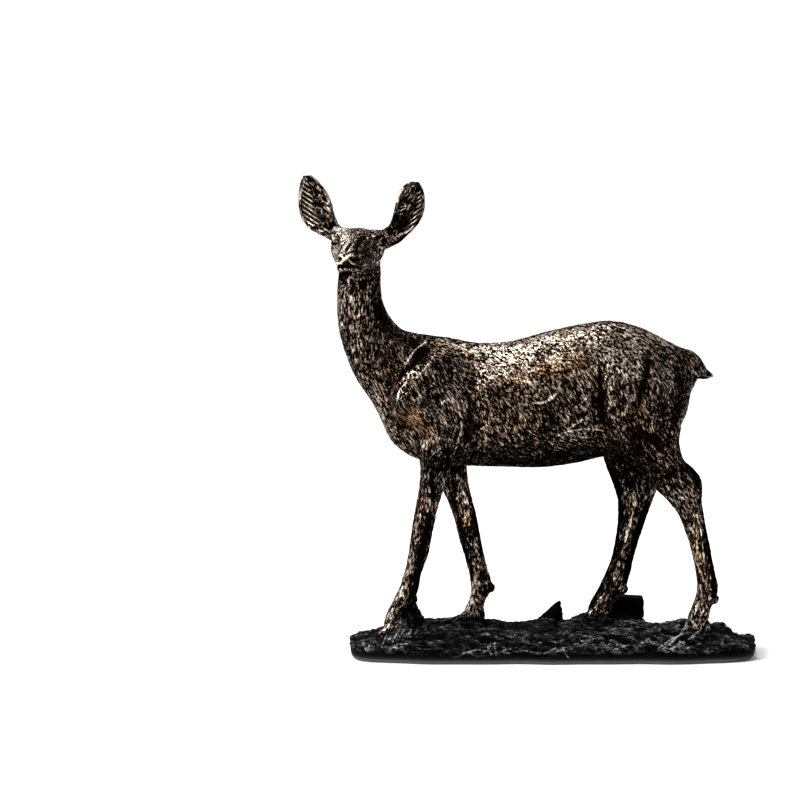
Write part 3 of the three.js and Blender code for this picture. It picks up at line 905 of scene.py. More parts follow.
# folds, veins and grooves on the far side: points x, z, then half width, rise and how bright the line is
flankLines = [
    [[(-105.5, 187), (-101, 195), (-94, 202.5), (-88, 206)], 0.6, 1.0, 0.5],
    [[(-80, 200), (-83, 195), (-88, 189), (-94, 185)], 1.6, 1.2, 0.1],
    [[(-94, 185), (-99, 186), (-103, 180), (-107, 173), (-110, 165)], 0.8, 1.2, 0.45],
    [[(-66, 172), (-62, 160), (-63.5, 150), (-69, 141)], 0.8, 0.9, 0.3],
    [[(-50, 162), (-46, 166), (-42, 167)], 0.8, 0.7, 0.45],
    [[(-15, 160), (-9, 159.5), (-4, 162), (0, 166), (4, 170)], 0.7, 1.0, 0.55],
    [[(12, 166), (18, 156), (22, 160), (27, 169)], 0.7, 0.8, 0.35],
    [[(9, 153), (16, 151), (24, 155), (30, 158)], 0.8, 0.7, 0.3],
    [[(-4, 139), (10, 143), (22, 149), (30, 155)], 0.8, 0.7, 0.35],
    [[(30, 142), (40, 139)], 0.8, 0.7, 0.35],
    [[(35, 192), (34, 176), (34.5, 160), (38, 146)], 1.6, -1.9, -0.25],
    [[(68, 196), (66, 178), (64, 164)], 2.0, -1.2, -0.12],
    [[(86, 190), (84, 172), (80, 154)], 2.2, -1.2, -0.12],
    [[(-58, 192), (-56, 170), (-57, 146)], 2.8, -1.0, 0],
    [[(-112, 176), (-116, 160), (-114, 144)], 1.6, -0.8, 0],
    [[(-92, 198), (-97, 191), (-102, 182)], 3.2, -1.2, -0.12],
    [[(83.5, 110.5), (88, 108), (95, 104), (97.5, 100), (96.3, 96)], 0.7, 0.8, 0.5],
    [[(86, 105.5), (88, 97.5)], 0.7, 0.6, 0.3],
    [[(101, 84), (103, 73), (105.5, 57), (107, 40), (105, 28)], 0.9, 0.8, 0.3],
    [[(105.5, 78), (109, 57), (110.5, 40)], 1.2, -0.9, -0.2],
    [[(-89, 83), (-85.5, 90), (-83.5, 97), (-80.5, 103.5), (-79, 109)], 0.8, 0.7, 0.35],
    [[(-92, 74), (-96, 50), (-99, 34)], 1.2, -0.8, -0.15],
    [[(-67, 103), (-63, 92), (-57, 77.5)], 0.9, 0.7, 0.25],
    [[(-112, 150), (-104, 145), (-96, 142)], 0.8, 0.7, 0.3],
]

# lines on the face in the head's own frame: points x, y, z for one side, then half width, rise, brightness
faceLines = [
    [[(14.4, -15.6, 1.5), (16.4, -13.8, 5.2), (17.6, -10, 7.2), (17.4, -6.4, 5.6)], 0.8, 1.2, 0.45],
    [[(14.4, -15.6, 1.5), (16.8, -13, 0.8), (18, -9.5, 0.8), (17.4, -6.4, 2.6)], 0.8, 0.9, 0.35],
    [[(13, -18.6, -0.4), (14.6, -15, 1.6)], 0.8, -0.9, -0.4],
    [[(0, -47.5, -9.8), (5, -45.5, -10), (8.6, -40, -10.6), (10, -33, -11.8)], 0.75, -1.5, -0.8],
    [[(0, -47, -12.6), (4.5, -45.6, -12.8), (8, -41, -13.4)], 0.7, 0.7, 0.4],
    [[(0, -49, -6.5), (0, -48.4, -9.6)], 0.5, -0.7, -0.4],
    [[(2.4, -48, -1.8), (5.4, -47, -1.4), (8.4, -44.5, -2.8)], 0.7, 0.6, 0.55],
    [[(3, -48, -6.2), (6.4, -46.8, -6.6), (9, -43.5, -5.6)], 0.6, 0.5, 0.5],
    [[(6.5, -28, -1), (9, -20, -1.5), (13, -15, -3)], 1.4, 0.7, 0.15],
    [[(9, -18, -13), (14, -8, -14), (16, 0, -10)], 2, 0.8, 0.05],
    [[(5.2, -36, 0), (6, -28, 2.5), (8.6, -20, 6)], 1.3, 0.6, 0.15],
]

# dents in the head's own frame: x, y, z, half sizes, depth
faceDents = [
    [6, -47, -4.6, 1.2, 2.6, 1.0, 1.9],
]

# strokes of the carving as the photo shows them, with painted shade and painted highlights along them: points
# in its pixels, half width in pixels, brightness
strokes = [
    # folds of the haunch, and painted shade on the dark sides of the far hind leg
    [[(649.3, 350), (646, 368), (640, 387), (637.7, 403), (631, 420)], 3.4, -0.22],
    [[(668, 350), (661, 371), (663.3, 403), (663.3, 431)], 3.6, -0.15],
    [[(677, 372), (682, 387), (677, 410), (671, 436)], 4.6, -0.2],
    [[(607.3, 467), (619, 494.5), (620, 518), (613.5, 549), (602.6, 581.8), (590, 607)], 4.2, -0.4],
    [[(651, 500), (642, 527), (634.5, 556), (629, 582)], 2.8, -0.35],
    [[(636.4, 482), (636.4, 505.5), (629, 534.5), (621.8, 563.6), (614.5, 585.5)], 1.5, 0.2],
    # forehead, eye and cheek on the left, with a painted highlight in the eye
    [[(333, 231), (338, 229), (344, 231)], 2.4, 0.3],
    [[(331.5, 233.5), (335, 233.5), (338.5, 236.5), (339.5, 239)], 0.8, -0.8],
    # a painted highlight in the left eye
    [[(334.2, 238), (334.6, 240)], 1.5, 0.8],
    [[(331.5, 237.5), (331.5, 241.5), (333.5, 244), (337, 243.8), (340, 243.5)], 0.8, -0.8],
    [[(337.5, 239.5), (339, 242.5)], 1.2, -0.9],
    [[(341, 235), (346, 238), (349, 241.5), (347, 246), (343, 251), (340.5, 255)], 1.1, 0.5],
    [[(342.5, 243.5), (342.5, 244.8)], 1.3, 0.7], [[(334, 248), (334, 249.5)], 0.9, -0.7],
    [[(335, 251), (336, 254)], 1.5, 0.45], [[(346, 242.5), (341, 249), (339, 253)], 0.7, -0.7],
    [[(351.5, 243), (349, 247.5), (346, 251.5)], 0.9, -0.9],
    [[(354, 244), (352, 248), (349, 252)], 0.9, 0.6],
    [[(353.5, 252), (349, 254.5), (344.5, 255.5), (345, 257.5)], 0.8, -0.7],
    [[(352, 251.5), (353, 252.5)], 1.1, -0.8],
    # muzzle
    [[(345, 260.4), (348, 258), (352, 255.2)], 1.1, 0.9],
    [[(349.5, 261), (352.5, 264.5), (356, 265.6)], 0.9, 0.6], [[(350.5, 258.8), (354.5, 262.5)], 1.0, -0.9],
    [[(339.8, 260.3), (340.8, 260.3)], 1.3, -1.0],
    [
        [(339.5, 255.8), (343, 259), (343.5, 261), (341, 264), (338.5, 264.8), (335.5, 263), (334.8, 261)],
        1,
        0.8,
    ],
    [[(343.5, 264), (346.5, 263.4), (350, 264.6)], 1.6, -0.25],
    [[(336, 267), (344.5, 267.8), (353, 267)], 1.4, -0.9],
    [[(338, 269.2), (343.5, 271.3), (348, 271.3), (352.5, 269.6)], 0.9, 0.12],
    [[(338, 274.4), (344.5, 275), (352, 274.4)], 1.5, -0.7],
    [[(338.5, 276.5), (343.5, 281), (346, 284.5)], 1.4, -0.7], [[(347, 280), (350.5, 284.5)], 0.8, 0.4],
    # painted shade on the darker half of the face, a painted shadow line down its middle, and a painted
    # highlight in its eye
    [[(363, 236), (359.5, 241), (357, 248), (357, 258)], 2.2, -0.35],
    [[(365, 235), (367, 238.5), (368.5, 241.5)], 0.8, 0.4], [[(372, 235), (374, 237.5)], 0.8, 0.6],
    [[(374, 241), (372, 244.5), (370.5, 246.5)], 0.8, 0.6], [[(376, 233.5), (379.5, 231.5)], 0.7, 0.4],
    [[(377.5, 235.6), (380.5, 234.5)], 0.7, 0.7],
    [[(377, 239), (382, 236.5), (384, 240), (382, 246)], 1.6, -0.8],
    # the grey curve over the right eye, and a painted highlight in it
    [[(378.5, 241.5), (380, 238.8), (383, 238)], 0.8, 0.4], [[(381, 243), (381, 244.2)], 1.0, 0.8],
    [[(378.5, 247), (381.5, 249)], 0.8, 0.5], [[(376, 251), (374, 253.5)], 0.8, 0.5],
    [[(370.5, 252), (369.5, 253.5)], 0.9, 0.6], [[(378.5, 257), (376, 260), (369, 263)], 0.7, 0.3],
    [[(366, 264), (366, 266)], 1.0, 0.4], [[(386, 231.5), (386.5, 235), (389.5, 236.5)], 1.3, 0.5],
    [[(388.2, 232.6), (388.3, 233.8)], 0.9, -1.0],
    # left ear
    [[(304.5, 177.5), (302.8, 186), (300.6, 194), (300, 202)], 1.3, 0.7],
    [[(309, 174.8), (314, 178), (319.5, 183)], 1.1, 0.8],
    [[(325, 190), (328, 196), (329.5, 205), (330, 212.5)], 1.0, 0.5],
    [[(307.5, 175.5), (311.5, 179.5), (314.5, 181.5)], 0.9, -0.8],
    [[(315.5, 196.5), (319, 201.5)], 0.8, 0.6], [[(322.5, 200.5), (322.5, 202)], 1.1, 0.7],
    [[(326.5, 198), (328.5, 204)], 0.9, 0.5], [[(323, 206.5), (329.5, 212)], 0.9, 0.7],
    [[(325, 213), (329, 217)], 1.2, 0.8], [[(322, 208.3), (328, 214.3)], 0.7, -0.8],
    [[(318, 229), (323.5, 232)], 0.9, 0.6], [[(324.5, 228.5), (328.5, 231.5)], 0.9, 0.7],
    [[(302.5, 216), (305, 220.5)], 1.0, 0.5], [[(307.5, 221.5), (314, 228.5)], 0.9, 0.3],
    [[(329, 229), (333, 225), (336, 224)], 2.0, -0.8],
    # right ear
    [[(405, 187), (400.5, 192), (398, 197), (397, 204)], 1.3, 0.8],
    [[(399, 206), (400.3, 213), (399.4, 225)], 0.8, 0.35],
    [[(393, 240.5), (397, 236.3), (400, 234), (404, 233.2), (408, 230.8), (412.5, 228)], 1.1, 0.9],
    [[(392, 247), (402, 239), (412, 231.8)], 1.3, -0.5], [[(410.5, 197), (411.5, 197.4)], 1.0, 0.5],
    [[(408, 199.5), (409, 201)], 0.8, 0.4], [[(412.5, 201), (413.5, 200)], 0.8, 0.4],
    [[(405, 206.8), (407, 205)], 1.0, 0.55], [[(410.5, 205.3), (411.5, 205.3)], 1.0, 0.45],
    [[(405, 212), (405.6, 212)], 1.0, 0.45], [[(408, 212.5), (409.5, 210.5)], 0.8, 0.4],
    # neck, shoulder and breast
    [[(429, 340.7), (415.5, 350), (409, 359), (403.3, 369)], 0.8, 0.6],
    [[(431, 348), (420, 355), (409, 368), (398, 377)], 3.0, -0.3],
    [[(438, 350), (429, 365.5), (424.5, 374.5)], 1.1, 0.3],
    [[(409, 381), (409, 374.5), (415.5, 372), (418, 376.7), (413, 381)], 0.8, 0.6],
    [[(409, 381), (400, 390), (396.7, 401)], 0.9, 0.75], [[(429, 363), (420, 376.7)], 0.8, 0.5],
    [[(440, 405.5), (446.7, 399)], 0.8, 0.6], [[(444.4, 421), (451, 429)], 0.9, 0.5],
    [[(453, 394), (457.8, 407.8), (462, 423), (455.5, 447.8), (451, 459)], 0.8, 0.45],
    [[(467, 395), (470, 420), (466, 445)], 5.0, -0.18], [[(480, 430), (489, 423)], 0.8, 0.6],
    [[(431, 439), (422, 448)], 0.9, 0.5], [[(440, 436.7), (435.5, 448)], 0.8, 0.5],
    [[(386.7, 427.8), (402, 434.5), (417.8, 447.8)], 0.8, 0.4],
    [[(373, 381), (384.5, 394.5), (386.7, 407.8)], 0.7, 0.3],
    [[(364.5, 303.3), (357.8, 316.7), (353, 312)], 0.7, 0.5], [[(341, 322), (344.5, 329)], 0.8, 0.6],
    [[(378, 300), (384, 322), (396, 336)], 4.5, -0.25],
    # flank and haunch
    [[(530, 403.3), (544.3, 402), (552.5, 397.5), (557.9, 392)], 0.85, 0.8],
    [[(572.3, 409), (580.5, 403.3), (587.5, 395)], 0.85, 0.6],
    [[(570, 427.8), (581.7, 419.7), (592, 411.5)], 0.8, 0.6],
    [[(553.7, 437), (570, 431), (593, 429), (609.7, 432.5)], 0.8, 0.55],
    [[(599, 362), (600.3, 391.7), (603.8, 428)], 1.7, -0.55],
    [[(647, 352), (645.8, 377.7), (638, 404)], 2.4, -0.3], [[(612, 398.7), (607, 412.7)], 0.8, 0.4],
    [[(627, 352), (623.7, 373)], 0.8, 0.35], [[(660, 380), (652, 404)], 0.9, 0.3],
    [[(628, 438), (645, 436), (663, 450)], 4.0, -0.25], [[(649, 445), (658.7, 455)], 1.8, 0.35],
    [[(698.3, 370.7), (702.5, 372.5)], 1.2, 0.4],
    # forelegs, with painted light on their lit sides and painted shade on their dark sides
    [[(416.8, 516), (413.9, 541.5), (408, 564.7), (400.8, 588), (396.5, 605)], 2.6, 0.22],
    [[(431.4, 503.6), (427, 529.8), (421.2, 554.5), (415.4, 583.6), (411, 605.5)], 3.0, -0.42],
    [[(431.4, 495), (430, 503.6), (425.5, 513.8), (418.3, 516.7)], 0.8, 0.5],
    [[(441, 473), (444.5, 486)], 1.3, 0.4], [[(431.4, 480), (434.3, 500.7)], 1.8, -0.4],
    [[(457.5, 481.8), (464.8, 493.5), (469.2, 506.5), (467.7, 518)], 0.9, 0.55],
    [[(450.3, 489), (459, 518), (464.8, 547), (470.6, 569)], 2.2, -0.3],
    [[(474, 505), (478, 530), (484, 562)], 2.0, -0.3], [[(469, 604), (465.5, 613)], 2.0, 0.35],
    # hind legs, with painted light on their lit sides and painted shade on their dark sides
    [[(696.4, 512.7), (700.9, 530.9), (703.6, 552.7), (706.4, 574.5)], 0.8, 0.6],
    [[(703.6, 494.5), (707.3, 530.9), (712.7, 567.3), (716.4, 596.4)], 1.9, -0.55],
    [[(678.2, 472.7), (681.8, 485.5)], 0.8, 0.5],
    [[(690.9, 478.2), (692.7, 487.3), (689, 496.4)], 0.7, 0.6],
    [[(688, 469), (697, 476), (699, 488)], 2.2, -0.4],
    [[(616.4, 480), (614.5, 530.9), (605.5, 567.3)], 2.8, -0.35],
    [[(638.2, 472.7), (636.4, 503.6), (629, 534.5), (620, 567.3)], 1.1, 0.4],
    [[(649, 500), (640, 530.9), (629, 567.3), (625.5, 587)], 2.0, -0.4],
    [[(641.8, 485.5), (645.5, 494.5)], 0.7, 0.4], [[(698, 603.6), (696.4, 614.5)], 2.2, 0.35],
]

# how light the bronze is, partly patina lightened by rubbing and partly painted light and shade, such as the
# belly and undersides painted dark and the face's left half painted lit and its right half in painted shade:
# x, z, reach along x and z, amount
rubAndPaintedLightSpots = [
    [0, 207, 58, 11, 0.2], [-28, 186, 30, 12, 0.37], [28, 192, 28, 12, 0.2], [66, 186, 16, 24, 0.19],
    [-75, 160, 22, 24, 0.07], [56, 165, 10, 14, 0.05], [20, 154, 40, 12, -0.08], [-102, 152, 9, 6, 0.25],
    [-92, 144, 9, 5, 0.23], [-97, 184, 12, 7, 0.08], [-84, 196, 8, 8, 0.1], [-82, 134, 8, 8, 0.16],
    [-70, 152, 8, 14, 0.08], [-147, 222, 5, 22, 0.14], [-131, 226, 6, 14, 0.06], [-150, 275, 8, 14, 0.5],
    [-140, 284, 10, 5, 0.16], [-121, 274, 4, 8, 0.12], [-131, 268, 7, 14, -0.12], [-166, 300, 12, 18, 0.14],
    [-100, 298, 12, 18, 0.05], [76, 124, 8, 6, 0.2], [100, 55, 5, 30, 0.32], [103, 15, 8, 12, 0.24],
    [-102, 60, 4.5, 40, 0.12], [-113, 15, 7, 16, 0.3], [-60, 85, 6, 22, 0.1], [-55, 15, 7, 16, 0.4],
    [-122, 240, 5, 22, -0.1], [-57, 168, 5, 20, -0.12], [-95, 196, 4, 6, -0.14], [34, 168, 3, 22, -0.16],
    [0, 115, 72, 17, -0.54], [60, 128, 26, 14, -0.28], [92, 178, 10, 14, -0.1], [-112, 182, 10, 18, -0.2],
    [-88, 132, 14, 9, -0.1],
]

# where the patina is warmer: x, z, reach along x and z, amount
warmed = [
    [-102, 152, 9, 7, 1.1], [-92, 144, 9, 6, 1.0], [8, 188, 16, 9, 0.8], [-25, 176, 20, 8, 0.6],
    [-30, 150, 26, 12, 0.3], [-118, 188, 8, 16, 0.4], [-64, 71, 6, 6, 1.0], [-100, 66, 6, 20, 0.5],
    [56, 146, 16, 18, 0.4], [102, 50, 8, 26, 0.4], [-144.5, 265, 4, 3, 1.0], [-104, 288, 4, 12, 0.6],
    [-128, 240, 12, 24, 0.25],
]

carving = {
    # strokes narrower than this, in pixels, rise by the first share of their brightness, others by the next
    "narrow": 1.8,
    "narrowRise": 0.8,
    "wideRise": 0.2,
    "strokeTone": 1.15,
    "faceTone": 0.4,
    "rimTone": 0.4,
    "ribRise": 0.55,
    "lockMiddle": 0.45,
    "smoothTone": 0.45,
    "hollowTone": 0.15,
    "eyeHalf": (4, 3.6, 2.6),
    "toneRange": (-0.4, 1),
    "fineTone": 0.25,
}


def buildDoe(finish, tubes):
    mesh = doeCasting(tubes, finish)
    points, normals = pointsOf(mesh), normalsOf(mesh)
    flat = points[:, [0, 2]]
    farSide = smoothstep(normals[:, 1], 0.2, 0.5)
    nearSide = smoothstep(-normals[:, 1], -0.25, 0.1)
    seen = seenAt(points)
    moved, accent = np.zeros(len(points)), np.zeros(len(points))
    for places, halfWidth, rise, bright in flankLines:
        near = nearLine(flat, places, halfWidth) * farSide
        moved += rise * near
        accent += bright * near
    # the strokes' brightness: lines of the carving, and painted shade and painted highlights
    for places, halfWidth, bright in strokes:
        near = nearLine(seen, places, halfWidth) * nearSide
        moved += bright * near * carving["narrowRise" if halfWidth < carving["narrow"] else "wideRise"]
        accent += carving["strokeTone"] * bright * near
    inHead = toHead(points)
    headTree = treeOf(inHead[inHead[:, 1] < 4])
    for places, halfWidth, rise, bright in faceLines:
        for side in (1, -1):
            line = laidOn(headTree, np.array(places) * (side, 1, 1))
            near = nearLine(inHead, line, halfWidth)
            moved += rise * near
            accent += carving["faceTone"] * bright * near
    for x, y, z, longX, longY, longZ, depth in faceDents:
        for side in (1, -1):
            away = ((inHead - (side * x, y, z)) / (longX, longY, longZ)) ** 2
            near = np.exp(-away.sum(1))
            moved -= depth * near
            accent -= near
    hollow, ribs = earInside(points)
    moved += carving["ribRise"] * ribs
    points = points + normals * moved[:, None]
    setPoints(mesh, points)
    normals = normalsOf(mesh)
    print("doe: folds, face and ears shaped")

    locks, tall = carveHair(points, normals)
    left = leftOfHair(points) * (1 - hollow)
    rims = earRimsNear(points)
    points = points + normals * ((locks - carving["lockMiddle"]) * tall * left)[:, None]
    smooth = carving["smoothTone"] * (1 - left) * (1 - hollow) + carving["hollowTone"] * hollow
    relief = np.clip(locks * left + smooth + ribs * 1.1, 0, 1.3)
    accent += carving["rimTone"] * rims
    eye = np.zeros(len(points))
    for eyePlace in eyePlaces:
        away = (inHead - eyePlace) / carving["eyeHalf"]
        eye = np.maximum(eye, smoothstep(1.15 - np.linalg.norm(away, axis=1), 0, 0.2))
    keep(mesh, "relief", relief)
    # lighter and darker spots: patina lightened by rubbing, and painted light and shade
    keep(mesh, "rubAndPaintedLight", np.clip(sum(softSpots(points, rubAndPaintedLightSpots)), *carving["toneRange"]))
    keep(mesh, "lean", leanOf(hairLie(points, normals)[0]))
    keep(mesh, "bare", np.maximum((1 - left) * (1 - hollow), hollow * (0.2 + 0.6 * (ribs > 0.05))))
    # tone of the carved lines, with the strokes' painted shade and painted highlights
    keep(mesh, "accent", np.clip(accent, -1, 1))
    keep(mesh, "eye", eye)
    keep(mesh, "warmth", np.max(softSpots(points, warmed), axis=0))
    points[:, 2] += ground
    setPoints(mesh, points * mm)
    fine = (hollow > casting["hollowEdge"]) | (np.abs(accent) > carving["fineTone"])
    fine |= onFeatures(fromHead(inHead))
    mesh = thinned(mesh, casting["mostTriangles"], fine)
    print("doe: hair carved,", len(mesh.polygons), "faces")
    return mesh


patina = {
    # scale of each noise, and the strands of hair at their leans in degrees
    "grain": 1000,
    "tufts": 230,
    "clouds": 60,
    "warmClouds": 75,
    "strandAcross": 900,
    "strandAlong": 240,
    "leans": (0, -30, 30, 60),
    "leanReach": 30,
    "bump": 0.35,
    "bumpDepth": 0.0005,
    "eye": (0.004, 0.0035, 0.003, 1),
    # tones from the dark of the hollows and of painted shade to metal polished by handling and to painted
    # highlights, cold and warm
    "silver": [
        (0.0, (0.0012, 0.0009, 0.0007)),
        (0.15, (0.017, 0.012, 0.009)),
        (0.3, (0.08, 0.059, 0.044)),
        (0.5, (0.26, 0.205, 0.16)),
        (0.7, (0.53, 0.44, 0.36)),
        (0.88, (0.83, 0.76, 0.67)),
        (1.0, (1.0, 0.96, 0.9)),
    ],
    "golden": [
        (0.0, (0.0012, 0.0007, 0.0005)),
        (0.15, (0.024, 0.0115, 0.0055)),
        (0.3, (0.105, 0.05, 0.021)),
        (0.5, (0.3, 0.165, 0.075)),
        (0.7, (0.57, 0.38, 0.2)),
        (0.88, (0.83, 0.68, 0.47)),
        (1.0, (1.0, 0.9, 0.74)),
    ],
}


def bronzeFinish():
    finish = Finish("patinated_bronze")
    names = ("relief", "rubAndPaintedLight", "eye", "lean", "bare", "accent", "warmth")
    relief, rubAndPaintedLight, eye, lean, bare, accent, warmth = (finish.attribute(name) for name in names)
    grain = finish.noise(patina["grain"], detail=2).between(0.38, 0.62)
    tuft = finish.noise(patina["tufts"], detail=2).between(0.3, 0.7)
    cloud = finish.noise(patina["clouds"], roughness=0.55).between(0.25, 0.75)
    warmCloud = finish.noise(patina["warmClouds"], roughness=0.55).between(0.45, 0.75)
    fineness = (patina["strandAcross"], patina["strandAlong"])
    strands = 0
    for angle in patina["leans"]:
        strands = strands + finish.strands(angle, *fineness) * lean.nearTo(angle, patina["leanReach"])
    strands = strands.clamped()
    uneven = (relief - 0.45) * 0.5 + (strands - 0.5) * 0.8 + (grain - 0.5) * 0.22 + (tuft - 0.5) * 0.24
    calm = (relief - 0.45) * 0.8 + (strands - 0.5) * 0.25 + (grain - 0.5) * 0.12
    still = (bare + accent.magnitude() * 1.4).clamped()
    uneven = uneven * (1 - still) + calm * still
    # the patina's tone, with the painted light and shade of the spots and the strokes
    wearAndPaintedLight = (rubAndPaintedLight + (cloud - 0.5) * 0.3 + uneven * 1.25 + accent).clamped()
    warm = (warmth * 0.8 + warmCloud * 0.6).clamped()
    colour = finish.mixed(warm, finish.ramp(wearAndPaintedLight, patina["silver"]), finish.ramp(wearAndPaintedLight, patina["golden"]))
    colour = finish.mixed(eye * 0.5, colour, patina["eye"])
    bump = finish.bump(uneven, patina["bump"], patina["bumpDepth"])
    sockets = {
        "Base Color": colour,
        "Metallic": wearAndPaintedLight.between(0.05, 0.35) * (1 - eye),
        "Roughness": 0.55 - wearAndPaintedLight * 0.2,
        "Specular IOR Level": 0.0,
        "Normal": bump,
    }
    return finish.shown(finish.add("ShaderNodeBsdfPrincipled", {}, sockets))


